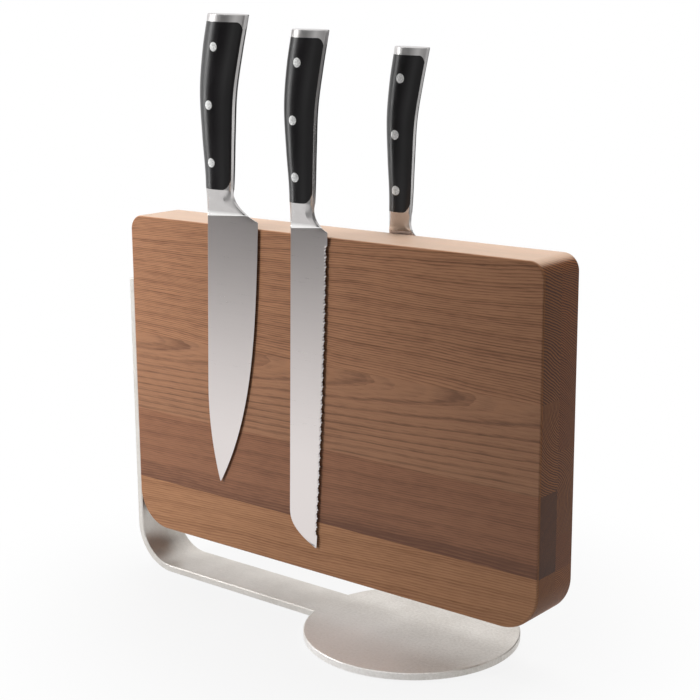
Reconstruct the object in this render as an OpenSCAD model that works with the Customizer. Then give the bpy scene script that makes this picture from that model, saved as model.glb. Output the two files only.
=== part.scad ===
// Magnetic knife block: a slab of glued beech staves on a bent steel stand, with three forged knives held flat
// against its faces by magnets hidden in the wood. X runs along the block, Z is up and the front faces -Y.
// The origin is on the table, under the middle of the whole product.

/* [Block] */
// Width of the wooden block
block_w = 360; // [310:1:440]
// Height of the wooden block
block_h = 240; // [200:1:290]
// Thickness of each of the two glued layers
layer_t = 20.5; // [19:0.5:26]
// Radius of the two upper corners
top_r = 11; // [4:1:20]
// Radius of the two lower corners
bottom_r = 28; // [12:1:36]
// Rounding of the long edges round both faces
edge_r = 1.5; // [0.5:0.5:3]
// Heights of the three lower staves of the front layer, the top one takes the rest
front_staves = [38, 54, 59]; // [20:1:70]
// Heights of the four lower staves of the back layer, the top one takes the rest
back_staves = [38, 23, 56, 61]; // [20:1:70]

/* [Magnets] */
// Length of one magnet
magnet_l = 40; // [20:1:50]
// Height of one magnet
magnet_h = 24; // [12:1:30]
// Thickness of one magnet
magnet_t = 8; // [4:0.5:9]
// Distance between the centres of neighbouring magnets
magnet_pitch = 44; // [42:1:60]
// Wood left between a magnet and the face of the block
skin_t = 2.5; // [1.5:0.5:4]
// Thickness of the steel bar behind each row of magnets
bar_t = 3; // [1:0.5:4]
// Depth of the centre of the upper row below the top of the block
upper_row = 33; // [25:1:45]
// Depth of the centre of the lower row below the top of the block
lower_row = 106; // [80:1:120]

/* [Stand] */
// Thickness of the steel plate
plate_t = 5; // [3:0.5:8]
// Width of the leg and of the strip under the block
strip_w = 39; // [32:1:47]
// Distance from the top of the block down to the top of the leg
leg_drop = 48.5; // [20:0.5:80]
// Inner radius of the bend between leg and strip
bend_r = 29; // [15:1:40]
// Clear height between the strip and the underside of the block
under_gap = 30; // [20:1:50]
// Diameter of the round foot
foot_d = 150; // [120:1:180]
// Distance from the outside of the leg to the centre of the foot
foot_reach = 251; // [220:1:270]
// Chamfer round the edges of the plate
edge_break = 0.6; // [0.3:0.1:1]
// Diameter of one rubber pad
pad_d = 14; // [8:1:20]
// Thickness of one rubber pad
pad_t = 1; // [0.5:0.5:3]

/* [Fixings] */
// Shank diameter of the countersunk screws
screw_d = 6; // [4:0.5:8]
// Length of the screws, head included
screw_l = 18; // [12:1:25]
// Outer diameter of the threaded inserts
insert_d = 9; // [7:0.5:12]
// Length of the threaded inserts
insert_l = 15; // [10:1:25]
// Distance of each screw from the edge of the leg
screw_edge = 9.5; // [8:0.5:12]
// Distance of the screws from the lower edge of the block and from the top of the leg
screw_inset = 26; // [15:1:40]

/* [Chef's knife] */
// Length of the blade from bolster to point
chef_blade_l = 195.2; // [150:0.1:235]
// Height of the blade at the heel
chef_blade_h = 47; // [40:0.5:56]
// Length of the grip with bolster and end cap
chef_grip_l = 139.8; // [110:0.1:168]
// Width of the grip at its neck
chef_neck_w = 23.2; // [19:0.1:27]
// Thickness of the grip
chef_grip_t = 20; // [14:0.5:24]
// Distance from the end of the grip to the first rivet, in grip lengths
chef_rivet_inset = 0.157; // [0.12:0.001:0.2]
// Distance between the rivets, in grip lengths
chef_rivet_pitch = 0.283; // [0.22:0.001:0.31]
// Distance of the spine from the left end of the block
chef_x = 82.8; // [60:0.1:100]
// Height of the bolster above the top of the block
chef_lift = 6.2; // [3:0.1:20]
// Lean of the knife from upright
chef_lean = 2; // [0:0.1:4]

/* [Bread knife] */
// Length of the blade from bolster to point
bread_blade_l = 224.1; // [180:0.1:273]
// Height of the blade at the heel
bread_blade_h = 31.5; // [27:0.5:38]
// Length of the grip with bolster and end cap
bread_grip_l = 131.9; // [105:0.1:158]
// Width of the grip at its neck
bread_neck_w = 19.8; // [16:0.1:24]
// Thickness of the grip
bread_grip_t = 17.8; // [13:0.1:22]
// Distance from the end of the grip to the first rivet, in grip lengths
bread_rivet_inset = 0.161; // [0.12:0.001:0.2]
// Distance between the rivets, in grip lengths
bread_rivet_pitch = 0.285; // [0.22:0.001:0.31]
// Distance between the long teeth, each gap between them being a wide scallop made of three small ones
tooth_pitch = 6.4; // [5:0.1:9]
// Depth of a wide scallop at its middle
tooth_depth = 1.7; // [0.8:0.1:2.2]
// Share of that depth that the small scallops take
small_share = 0.4; // [0.2:0.05:0.6]
// Plain edge between the heel and the first tooth
tooth_start = 10.2; // [4:0.1:20]
// Plain edge kept at least before the point
tooth_end = 8.5; // [6:0.1:25]
// Distance of the spine from the left end of the block
bread_x = 160.5; // [150:0.1:200]
// Height of the bolster above the top of the block
bread_lift = 3.9; // [1:0.1:20]
// Lean of the knife from upright
bread_lean = 1.4; // [0:0.1:4]

/* [Slicing knife] */
// Length of the blade from bolster to point
slicer_blade_l = 200; // [160:0.5:240]
// Height of the blade at the heel
slicer_blade_h = 29; // [24:0.5:35]
// Length of the grip with bolster and end cap
slicer_grip_l = 123; // [100:0.5:150]
// Width of the grip at its neck
slicer_neck_w = 17.9; // [14:0.1:21]
// Thickness of the grip
slicer_grip_t = 15.4; // [12:0.1:19]
// Distance from the end of the grip to the first rivet, in grip lengths
slicer_rivet_inset = 0.166; // [0.12:0.001:0.2]
// Distance between the rivets, in grip lengths
slicer_rivet_pitch = 0.301; // [0.22:0.001:0.31]
// Distance of the spine from the left end of the block
slicer_x = 210.5; // [160:0.1:260]
// Height of the bolster above the top of the block
slicer_lift = 1.3; // [0.5:0.1:20]
// Lean of the knife from upright
slicer_lean = 1.9; // [0:0.1:4]

/* [All knives] */
// Thickness of the blades at the spine
blade_t = 2.6; // [1.8:0.1:3.5]
// Thickness of the tang between the scales
tang_t = 2.6; // [2:0.1:5]
// Height of the end cap
cap_l = 5.2; // [3:0.1:10]
// Width and height of the scales' rounded corners at the bolster
scale_foot_corner = [3.4, 7.6]; // [2:0.1:9]
// Width and height of the scales' rounded corners at the end cap
scale_cap_corner = [3, 5.4]; // [2:0.1:8]
// Diameter of the rivet heads
rivet_d = 6.4; // [5:0.1:9]
// Diameter of the rivet shanks
rivet_shank_d = 4.5; // [3:0.5:5]
// Depth of the rivet heads
rivet_head_t = 3; // [2:0.5:4]
// Gap between a resting blade and the wood
rest_gap = 0.3; // [0.2:0.05:1]

/* [Hidden] */

wood = [0.62, 0.43, 0.32];
wood_light = [0.72, 0.52, 0.38];
steel = [0.75, 0.74, 0.72];
dark_steel = [0.45, 0.45, 0.47];
brass = [0.72, 0.60, 0.30];
rubber = [0.12, 0.12, 0.12];
scale_black = [0.08, 0.08, 0.09];

fit_gap = 0.1;                 // clearance of glued, pressed and screwed fits, per side
scale_gap = 0.05;              // joint between a scale and its steel frame
over = 1;                      // how far a cutter runs past the face that it opens
arc_steps = 5;                 // flats in a quarter of a rounded edge
ring_n = 24;                   // corners of one section through a grip
grip_ring_n = 18;              // sections between bolster and end cap

// Heights above the table
strip_top = pad_t + plate_t;
block_z = strip_top + under_gap;
block_top = block_z + block_h;
leg_top = block_top - leg_drop;

// Lengths along X, with the whole product centred
outer_x = -(block_w + plate_t) / 2;
block_x = outer_x + plate_t;
block_mid_x = block_x + block_w / 2;
foot_x = outer_x + foot_reach;
bend_out_r = bend_r + plate_t;

// Stave joints above the lower edge of the block
function joints(staves, k) = k == 0 ? 0 : k > len(staves) ? block_h : joints(staves, k - 1) + staves[k - 1];

// Magnet channels
channel_h = magnet_h + 2 * fit_gap;
channel_t = layer_t - skin_t;
end_wall = 14;                 // wood left beyond the rounded end of a channel
magnet_n = floor((block_w - 2 * end_wall - channel_h) / magnet_pitch);
row_l = magnet_n * magnet_pitch;
row_depths = [upper_row, lower_row];
filler_t = channel_t - magnet_t - bar_t;

// Screws of the leg
screw_head_d = 2 * screw_d;
screw_head_t = (screw_head_d - screw_d) / 2;
screw_y = strip_w / 2 - screw_edge;
screw_seats = [for (z = [block_z + screw_inset, leg_top - screw_inset], y = [-screw_y, screw_y]) [y, z]];

// A knife is described in its own plane: u runs from the spine to the edge, w up from the foot of the bolster.
// [blade length, blade height, point below the spine, length and power of the dropping spine, straight share and
//  power of the edge, grip length, neck width, flare of the grip's end, arch of its back, thickness, bolster
//  length, rise of its foot towards the belly, drop of the heel, length of the bolster's sweep, first rivet and
//  rivet pitch in grip lengths, is it toothed]
chef = [chef_blade_l, chef_blade_h, 12, 75, 2.1, 0.13, 3.4, chef_grip_l, chef_neck_w, 12.5, 5.4, chef_grip_t,
        20.3, 3.6, 0, 23, chef_rivet_inset, chef_rivet_pitch, false];
bread = [bread_blade_l, bread_blade_h, 24, 25, 2.6, 0.2, 2, bread_grip_l, bread_neck_w, 10.2, 4.9, bread_grip_t,
         18.4, 2.6, 0, 16, bread_rivet_inset, bread_rivet_pitch, true];
slicer = [slicer_blade_l, slicer_blade_h, 7, 60, 2.2, 0.1, 4, slicer_grip_l, slicer_neck_w, 9.7, 3.8, slicer_grip_t,
          14, 1.5, 5, 14, slicer_rivet_inset, slicer_rivet_pitch, false];
function blade_l(k) = k[0];
function blade_h(k) = k[1];
function point_u(k) = k[2];
function drop_l(k) = k[3];
function drop_power(k) = k[4];
function edge_slope(k) = k[5];
function edge_power(k) = k[6];
function grip_l(k) = k[7];
function neck_w(k) = k[8];
function flare(k) = k[9];
function arch(k) = k[10];
function grip_t(k) = k[11];
function bolster_l(k) = k[12];
function foot_rise(k) = k[13];
function heel_drop(k) = k[14];
function sweep_l(k) = k[15];
function rivet_inset(k) = k[16];
function rivet_pitch(k) = k[17];
function toothed(k) = k[18];
foot_proud = 0.15;             // step from the blade up to the foot of the bolster, on each side
bolster_power = 0.85;          // under 1: the bolster thickens fastest at its foot
sweep_power = 2.8;             // how sharply the belly turns out into the heel
tilt_l = 20;                   // length of blade over which the sections turn level again below the foot
face_a = 80;                   // place round the oval where the bolster's face starts at its foot
hollow_power = [1.8, 0.594];   // curve from crease to belly, at the foot and at the top of the bolster
foot_belly_t = 0.9;            // half thickness at the belly of the foot, in blade thicknesses
crease_a = 37.5;               // place of the crease round the section where the bolster meets the scales
crease_bulge = 0.13;           // extra room between crease and belly, in parts of the heel's overhang
bevel_w = 2;                   // height of the ground edge
bevel_t = 0.7;                 // thickness of the blade above the ground edge
edge_t = 0.1;                  // thickness left at the very edge
distal_taper = 0.35;           // share of the spine's thickness that is gone at the point
spine_soft = [0.4, 0.6];       // rounding of the spine: its depth, and the share of thickness left at its back
shoulder_t = 0.85;             // share of the wedge's thickness left at the shoulder's edge
root = [1.2, 1.5];             // the blade's end hidden in the bolster: its inset and its length
point_spacing = 1.4;           // over 1: sections crowd at the point
foot_spacing = 1.6;            // over 1: sections crowd at the foot of the bolster

// Smooth curve through rows of [place, value, value ...]
function row_slope(rows, i) =
    let (a = rows[max(i - 1, 0)], b = rows[min(i + 1, len(rows) - 1)])
    (b - a) / (b[0] - a[0]);
function row_at(rows, t) =
    let (i = max([0, for (k = [0:len(rows) - 2]) if (rows[k][0] <= t) k]),
         a = rows[i], b = rows[i + 1], h = b[0] - a[0], s = max(0, min(1, (t - a[0]) / h)), r = 1 - s)
    a * (1 + 2 * s) * r * r + b * s * s * (3 - 2 * s)
    + row_slope(rows, i) * h * s * r * r - row_slope(rows, i + 1) * h * s * s * r;

// The grip along its length: back (in arches), belly (in flares) and thickness (in full thicknesses)
grip_rows = [[0.00, 0.05, -0.16, 0.80],
             [0.20, -0.07, -0.04, 0.84],
             [0.40, -0.60, 0.00, 0.94],
             [0.62, -1.00, 0.11, 1.00],
             [0.82, -0.57, 0.53, 1.00],
             [1.00, 0.30, 1.00, 0.96]];

function above(x) = max(x, 0);
function lerp(a, b, t) = a + (b - a) * t;
function neck_u(k, w) = neck_w(k) + flare(k) * row_at(grip_rows, w / grip_l(k))[2];
function foot_w(k) = neck_u(k, 0);
function sweep(k, w) = pow(above(1 - (w + heel_drop(k)) / sweep_l(k)), sweep_power) * (blade_h(k) - foot_w(k));
function back_u(k, w) = arch(k) * row_at(grip_rows, w / grip_l(k))[1];
function belly_u(k, w) = neck_u(k, w) + sweep(k, w);
function full_half_t(k, w) = grip_t(k) / 2 * row_at(grip_rows, w / grip_l(k))[3];

// Half thickness of the blade beside the bolster: a wedge from spine to edge
function wedge(k, u) = lerp(blade_t, bevel_t, above(min(1, u / (blade_h(k) - bevel_w)))) / 2;

// Share of the way up the bolster, and how much higher a section lies at the belly than at the spine
function up_bolster(k, w) = min(1, w / bolster_l(k));
function tilt(k, w) = foot_rise(k) * above(w > 0 ? 1 - w / bolster_l(k) : 1 + w / tilt_l);

// One section through bolster, grip and end cap. In the grip it is an oval with a flat on back and belly. Down the
// bolster it thins to the blade's wedge, its face widens up to a crease, and a hollow runs from there to the belly.
function grip_ring(k, w, shrink = 0) =
    let (s = up_bolster(k, w), t = full_half_t(k, max(w, bolster_l(k))) - shrink, u0 = back_u(k, w) + shrink,
         u1 = belly_u(k, w + tilt(k, w)) - shrink, neck = s < 1 ? neck_u(k, w) : u1, mid = (u0 + neck) / 2,
         half = (neck - u0) / 2, flat = cos(180 / ring_n), crease_x = cos(crease_a) / flat,
         margin = half * (1 - crease_x) + crease_bulge * (blade_h(k) - neck_w(k)) * sin(180 * s),
         crease_u = u1 - margin, start_a = lerp(face_a, crease_a, s), crease_t = t * sin(start_a) / flat,
         belly_t = lerp(foot_belly_t * blade_t, t * sin(180 / ring_n) / flat, s),
         hollow = lerp(hollow_power[0], hollow_power[1], s))
    [for (i = [0:ring_n - 1])
        let (a = 360 * (min(i, ring_n - 1 - i) + 0.5) / ring_n,
             x = min(1, (cos(a) / flat - crease_x) / (1 - crease_x)),
             b = lerp(start_a, 90, (a - crease_a) / (90 - crease_a)),
             p = a < crease_a ? [crease_u + margin * x, lerp(belly_t, crease_t, pow(1 - x, hollow))]
                 : a < 90 ? [mid + (crease_u - mid) * cos(b) / cos(start_a), t * sin(b) / flat]
                 : [mid + half * cos(a) / flat, t * sin(a) / flat],
             y = lerp(wedge(k, p[0]) + foot_proud, p[1], pow(s, bolster_power)))
        [p[0], i < ring_n / 2 ? y : -y, w + tilt(k, w) * (p[0] - u0) / (u1 - u0)]];

// A closed skin over rings that all have the same number of corners
module skin(rings) {
    n = len(rings[0]);
    last = len(rings) - 1;
    polyhedron(points = [for (r = rings) each r],
               faces = concat([[for (i = [0:n - 1]) i]],
                              [for (j = [0:last - 1], i = [0:n - 1])
                                  [j * n + i, (j + 1) * n + i, (j + 1) * n + (i + 1) % n, j * n + (i + 1) % n]],
                              [[for (i = [n - 1:-1:0]) last * n + i]]));
}

// ---------------------------------------------------------------- wooden block

// Corner region that rounds off a square corner; the corner point is the origin and the board lies along +X, +Y
module corner_waste(r) {
    difference() {
        translate([-over, -over]) square(r + over);
        translate([r, r]) circle(r, $fn = 96);
    }
}

// Outline of a layer lying flat, with its lower edge on the X axis
module layer_outline() {
    difference() {
        translate([block_x, 0]) square([block_w, block_h]);
        for (c = [[block_x, 0, 0, bottom_r], [block_x + block_w, 0, 90, bottom_r],
                  [block_x + block_w, block_h, 180, top_r], [block_x, block_h, 270, top_r]])
            translate([c[0], c[1]]) rotate(c[2]) corner_waste(c[3]);
    }
}

// Section of the waste at a rounded long edge: [distance inside the outline, depth below the face]
edge_waste = concat([[-over, -over], [edge_r, -over]],
                    [for (i = [0:arc_steps]) let (a = 90 * i / arc_steps)
                        [edge_r * (1 - sin(a)), edge_r * (1 - cos(a))]],
                    [[-over, edge_r]]);

// Waste along a straight edge that starts at the origin and runs along +X, with the board towards +Y
module straight_edge_waste(l) {
    rotate([90, 0, 90]) linear_extrude(l) polygon([for (p = edge_waste) [p[0], layer_t - p[1]]]);
}

// Waste round a corner of radius r whose corner point is the origin
module corner_edge_waste(r) {
    translate([r, r, 0]) rotate(180)
        rotate_extrude(angle = 90, $fn = 96) polygon([for (p = edge_waste) [r - p[0], layer_t - p[1]]]);
}

// All the waste round the face of a layer
module face_edge_waste() {
    side_l = block_h - bottom_r - top_r;
    for (c = [[block_x, 0, 0, bottom_r, block_w - 2 * bottom_r],
              [block_x + block_w, 0, 90, bottom_r, side_l],
              [block_x + block_w, block_h, 180, top_r, block_w - 2 * top_r],
              [block_x, block_h, 270, top_r, side_l]])
        translate([c[0], c[1], 0]) rotate(c[2]) {
            corner_edge_waste(c[3]);
            translate([c[3], 0, 0]) straight_edge_waste(c[4]);
        }
}

// Slot with round ends along a magnet row, from the glue plane towards the face
module row_slot(h, t, clear = 0) {
    translate([block_mid_x - row_l / 2, -h / 2 + clear, 0]) cube([row_l, h - 2 * clear, t]);
    for (s = [-1, 1])
        translate([block_mid_x + s * row_l / 2, 0, 0]) cylinder(d = h - 2 * clear, h = t, $fn = 64);
}

module at_rows() {
    for (d = row_depths) translate([0, block_h - d, 0]) children();
}

// Stands a flat layer up on the stand: the front layer's face looks along -Y, the back layer's along +Y
module stand_up(front) {
    translate([0, 0, block_z]) mirror([0, front ? 0 : 1, 0]) rotate([90, 0, 0]) children();
}

// One stave, number k from the bottom
module stave(staves, k, front) {
    z0 = joints(staves, k);
    z1 = joints(staves, k + 1);
    color(k % 2 == 0 ? wood_light : wood) stand_up(front) difference() {
        intersection() {
            linear_extrude(layer_t) layer_outline();
            translate([block_x - over, z0, -over]) cube([block_w + 2 * over, z1 - z0, layer_t + 2 * over]);
        }
        face_edge_waste();
        at_rows() translate([0, 0, -over]) row_slot(channel_h, channel_t + over);
        for (z = [screw_inset, leg_top - block_z - screw_inset])
            translate([block_x - over, z, screw_y]) rotate([0, 90, 0])
                cylinder(d = insert_d + 2 * fit_gap, h = insert_l + fit_gap + over, $fn = 48);
    }
}

module magnets(front) {
    color(dark_steel) stand_up(front) at_rows()
        for (i = [0:magnet_n - 1])
            translate([block_mid_x - row_l / 2 + (i + 0.5) * magnet_pitch - magnet_l / 2, -magnet_h / 2,
                       channel_t - magnet_t])
                cube([magnet_l, magnet_h, magnet_t]);
}

module backing_bars(front) {
    color(steel) stand_up(front) at_rows()
        translate([block_mid_x - row_l / 2, -magnet_h / 2, filler_t]) cube([row_l, magnet_h, bar_t]);
}

module filler_strips(front) {
    color(wood_light) stand_up(front) at_rows() row_slot(channel_h, filler_t, fit_gap);
}

// ---------------------------------------------------------------- stand

// Rectangle round the middle of the origin with its corners cut off
module chamfered(w, h) {
    c = edge_break;
    polygon([[c - w / 2, -h / 2], [w / 2 - c, -h / 2], [w / 2, c - h / 2], [w / 2, h / 2 - c],
             [w / 2 - c, h / 2], [c - w / 2, h / 2], [-w / 2, h / 2 - c], [-w / 2, c - h / 2]]);
}

// Leg, bend and strip: one bar of flat steel, bent at a right angle
module bent_bar() {
    leg_x = outer_x + plate_t / 2;
    leg_l = leg_top - pad_t - bend_out_r;
    strip_l = foot_reach - bend_out_r;
    translate([leg_x, 0, leg_top - leg_l]) intersection() {
        linear_extrude(leg_l) chamfered(plate_t, strip_w);
        rotate([90, 0, 0]) linear_extrude(strip_w, center = true) chamfered(plate_t, 2 * leg_l);
        rotate([90, 0, 90]) linear_extrude(plate_t, center = true) chamfered(strip_w, 2 * leg_l);
    }
    translate([outer_x + bend_out_r, 0, pad_t + bend_out_r]) rotate([90, 0, 0]) rotate(180)
        rotate_extrude(angle = 90, $fn = 128) translate([bend_r + plate_t / 2, 0]) chamfered(plate_t, strip_w);
    translate([outer_x + bend_out_r, 0, pad_t + plate_t / 2]) rotate([90, 0, 90])
        linear_extrude(strip_l) chamfered(strip_w, plate_t);
}

module stand_plate() {
    c = edge_break;
    color(steel) difference() {
        union() {
            bent_bar();
            translate([foot_x, 0, pad_t]) rotate_extrude($fn = 160)
                polygon([[0, 0], [foot_d / 2 - c, 0], [foot_d / 2, c], [foot_d / 2, plate_t - c],
                         [foot_d / 2 - c, plate_t], [0, plate_t]]);
        }
        for (s = screw_seats) translate([outer_x, s[0], s[1]]) rotate([0, 90, 0]) {
            translate([0, 0, -over]) cylinder(d = screw_d + 4 * fit_gap, h = plate_t + 2 * over, $fn = 48);
            translate([0, 0, -fit_gap])
                cylinder(d1 = screw_head_d + 4 * fit_gap, d2 = screw_d, h = screw_head_t + 2 * fit_gap, $fn = 48);
        }
    }
}

// Countersunk screws with a hexagon socket
module leg_screws() {
    socket_d = 0.7 * screw_d;
    socket_floor = 0.5;        // steel left between the socket and the end of the head's cone
    color(steel) for (s = screw_seats) translate([outer_x, s[0], s[1]]) rotate([0, 90, 0]) difference() {
        union() {
            cylinder(d1 = screw_head_d, d2 = screw_d, h = screw_head_t, $fn = 48);
            cylinder(d = screw_d, h = screw_l, $fn = 48);
        }
        translate([0, 0, -over]) cylinder(d = socket_d, h = screw_head_t - socket_floor + over, $fn = 6);
    }
}

module threaded_inserts() {
    color(brass) for (s = screw_seats) translate([block_x, s[0], s[1]]) rotate([0, 90, 0]) difference() {
        cylinder(d = insert_d, h = insert_l, $fn = 48);
        translate([0, 0, -over])
            cylinder(d = screw_d + 2 * fit_gap, h = insert_l + 2 * over, $fn = 48);
    }
}

// Four pads under the round foot and one under the strip beside the bend
module rubber_pads() {
    pad_r = 0.39 * foot_d;     // clear of the foot's edge and of the strip
    color(rubber) {
        for (a = [45:90:315])
            translate([foot_x + pad_r * cos(a), pad_r * sin(a), 0]) cylinder(d = pad_d, h = pad_t, $fn = 48);
        translate([outer_x + bend_out_r + pad_d, 0, 0]) cylinder(d = pad_d, h = pad_t, $fn = 48);
    }
}

// ---------------------------------------------------------------- knives

// The blade's two outlines at height w, which is negative below the bolster
function spine_u(k, w) =
    point_u(k) * pow(above((-w - blade_l(k) + drop_l(k)) / drop_l(k)), drop_power(k));
function edge_u(k, w) =
    let (s = above(-w - heel_drop(k)) / (blade_l(k) - heel_drop(k)))
    min(blade_h(k) - (blade_h(k) - point_u(k) - edge_t) * (edge_slope(k) * s + (1 - edge_slope(k))
                                                         * pow(s, edge_power(k))),
        foot_w(k) + sweep(k, w));

// One section through the blade, ground thinner from spine to edge and towards the point. The shoulder above the
// heel cuts the same wedge off blunt.
function heel_w(k) = -(heel_drop(k) + foot_rise(k)) / (1 + foot_rise(k) / tilt_l);
function blade_ring(k, w, inset = 0) =
    let (rise = tilt(k, w), u0 = spine_u(k, w) + inset, u1 = max(edge_u(k, w + rise) - inset, u0 + edge_t),
         t = blade_t / 2 * (1 - distal_taper * above(-w) / blade_l(k)), back_t = spine_soft[1] * t,
         bevel = min(bevel_w, (u1 - u0) / 3), soft = min(spine_soft[0], (u1 - u0) / 4),
         sharp = w < heel_w(k) + 0.01,
         tb = sharp ? min(bevel_t / 2, t) : wedge(k, u1 - bevel),
         te = sharp ? edge_t / 2 : shoulder_t * wedge(k, u1))
    [for (p = [[u0, -back_t], [u0 + soft, -t], [u1 - bevel, -tb], [u1, -te],
               [u1, te], [u1 - bevel, tb], [u0 + soft, t], [u0, back_t]])
        [p[0], p[1], w + rise * (p[0] - u0) / (u1 - u0)]];

// Heights of the blade's sections from the point up, closer together at the point and at the heel
function blade_places(k) =
    let (straight = blade_l(k) - drop_l(k) + heel_w(k))
    concat([for (i = [0:12]) -blade_l(k) + drop_l(k) * pow(i / 12, point_spacing)],
           [for (i = [1:9]) heel_w(k) - straight * (1 - i / 10)],
           [for (i = [0:4]) heel_w(k) * (1 - i / 4)], [root[1]]);

module blade(k) {
    skin([for (w = blade_places(k)) blade_ring(k, w, w > 0 ? root[0] : 0)]);
}

// Scallops along the edge of a toothed blade: wide ones from tooth to tooth, with three small ones in each
function bite(s) = tooth_depth * ((1 - small_share) * abs(sin(180 * s)) + small_share * abs(sin(540 * s)));
module teeth_waste(k) {
    first = heel_drop(k) + tooth_start;
    n = floor((blade_l(k) - first - tooth_end) / tooth_pitch);
    steps = 9;
    tip_left = 0.01;           // the tips of the teeth stay this far outside the cut
    rotate([90, 0, 0]) linear_extrude(4 * blade_t, center = true)
        polygon(concat([for (i = [0:n * steps])
                           let (w = -first - i * tooth_pitch / steps)
                           [edge_u(k, w) - bite(i / steps) + tip_left, w]],
                       [[blade_h(k) + over, -first - n * tooth_pitch], [blade_h(k) + over, -first]]));
}

// Solid over bolster, grip and end cap, or over the part of it between two heights
cap_round = 0.7;
function grip_places(k) =
    concat([for (i = [0:7]) bolster_l(k) * pow(i / 8, foot_spacing)],
           [for (i = [0:grip_ring_n]) lerp(bolster_l(k), grip_l(k) - cap_round, i / grip_ring_n)], [grip_l(k)]);
module grip_body(k, low = 0, high = 1e3) {
    skin([for (w = grip_places(k)) if (w >= low && w <= high) grip_ring(k, w, w < grip_l(k) ? 0 : cap_round)]);
}

// Outline of a scale: flush with back and belly, and rounded where bolster and cap reach round it at the belly by
// most of a quarter of an ellipse, which ends just short of the belly
function scale_corner(k, gap, w_end, corner, way) =
    [for (i = [0:5]) let (a = 80 * i / 5, w = w_end + way * corner[1] * (1 - cos(a)))
        [belly_u(k, w) - gap - corner[0] * (1 - sin(a)), w]];
module scale_outline(k, gap) {
    w0 = bolster_l(k) + gap;
    w1 = grip_l(k) - cap_l - gap;
    back = -2 * arch(k);
    out = belly_u(k, w1) + over;
    low = scale_corner(k, gap, w0, scale_foot_corner, 1);
    high = scale_corner(k, gap, w1, scale_cap_corner, -1);
    polygon(concat([[back, w0]], low, [[out, low[5][1]], [out, high[5][1]]], [for (i = [5:-1:0]) high[i]],
                   [[back, w1]]));
}

// Space of a scale on one side of the tang
module scale_space(k, side, gap) {
    rotate([90, 0, 0]) translate([0, 0, side * (tang_t / 2 + gap + grip_t(k) / 2)])
        linear_extrude(grip_t(k), center = true) scale_outline(k, gap);
}

function rivet_w(k, i) = grip_l(k) * (1 - rivet_inset(k) - i * rivet_pitch(k));
module at_rivets(k) {
    for (i = [0:2]) {
        w = rivet_w(k, i);
        translate([(back_u(k, w) + belly_u(k, w)) / 2, 0, w]) rotate([90, 0, 0]) children();
    }
}

// A rivet seat: shank all the way through and a wider head near each face of the grip
module rivet_shape(k, clear) {
    head_z = grip_t(k) / 2 - rivet_head_t;
    cylinder(d = rivet_shank_d + 2 * clear, h = grip_t(k) + 2 * over, center = true, $fn = 32);
    for (s = [-1, 1]) translate([0, 0, s * (head_z + (rivet_head_t + over) / 2 - clear / 2)])
        cylinder(d = rivet_d + 2 * clear, h = rivet_head_t + over + clear, center = true, $fn = 40);
}

// Blade, bolster, tang and end cap in one piece of steel
module forging(k) {
    color(steel) difference() {
        union() {
            blade(k);
            grip_body(k);
        }
        scale_space(k, 1, 0);
        scale_space(k, -1, 0);
        at_rivets(k) cylinder(d = rivet_shank_d + fit_gap, h = 2 * tang_t, center = true, $fn = 32);
        if (toothed(k)) teeth_waste(k);
    }
}

module scale(k, side) {
    color(scale_black) difference() {
        intersection() {
            grip_body(k, bolster_l(k));
            scale_space(k, side, scale_gap);
        }
        at_rivets(k) rivet_shape(k, scale_gap);
    }
}

module rivets(k) {
    room = 2 * rivet_d;        // more than a rivet's radius and the distance between two sections
    color(steel) intersection() {
        at_rivets(k) rivet_shape(k, 0);
        grip_body(k, rivet_w(k, 2) - room, rivet_w(k, 0) + room);
    }
}

// Puts a knife against a face of the block: front or back, spine x from the block's left end
module on_face(x, lift, lean, front) {
    y = layer_t + rest_gap + blade_t / 2;
    translate([block_x + x, front ? -y : y, block_top + lift]) rotate([0, lean, 0]) children();
}
module as_chef() { on_face(chef_x, chef_lift, chef_lean, true) children(); }
module as_bread() { on_face(bread_x, bread_lift, bread_lean, true) children(); }
module as_slicer() { on_face(slicer_x, slicer_lift, slicer_lean, false) children(); }

stave(front_staves, 0, true);  // front_stave_1
stave(front_staves, 1, true);  // front_stave_2
stave(front_staves, 2, true);  // front_stave_3
stave(front_staves, 3, true);  // front_stave_4
stave(back_staves, 0, false);  // back_stave_1
stave(back_staves, 1, false);  // back_stave_2
stave(back_staves, 2, false);  // back_stave_3
stave(back_staves, 3, false);  // back_stave_4
stave(back_staves, 4, false);  // back_stave_5
magnets(true);  // front_magnets
backing_bars(true);  // front_backing_bars
filler_strips(true);  // front_filler_strips
magnets(false);  // back_magnets
backing_bars(false);  // back_backing_bars
filler_strips(false);  // back_filler_strips
stand_plate();
leg_screws();
threaded_inserts();
rubber_pads();
as_chef() forging(chef);  // chef_knife_forging
as_chef() scale(chef, 1);  // chef_knife_front_scale
as_chef() scale(chef, -1);  // chef_knife_back_scale
as_chef() rivets(chef);  // chef_knife_rivets
as_bread() forging(bread);  // bread_knife_forging
as_bread() scale(bread, 1);  // bread_knife_front_scale
as_bread() scale(bread, -1);  // bread_knife_back_scale
as_bread() rivets(bread);  // bread_knife_rivets
as_slicer() forging(slicer);  // slicing_knife_forging
as_slicer() scale(slicer, 1);  // slicing_knife_front_scale
as_slicer() scale(slicer, -1);  // slicing_knife_back_scale
as_slicer() rivets(slicer);  // slicing_knife_rivets
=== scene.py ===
"""Looks of the magnetic knife block: beech staves, bent steel stand and three forged knives.

Shapes are worked out in millimetres and put into the meshes in metres.
"""
from math import acos, cos, pi, radians, sin

import bmesh
import bpy
import numpy as np
from mathutils import Matrix, Vector
from mathutils.geometry import delaunay_2d_cdt


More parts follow.
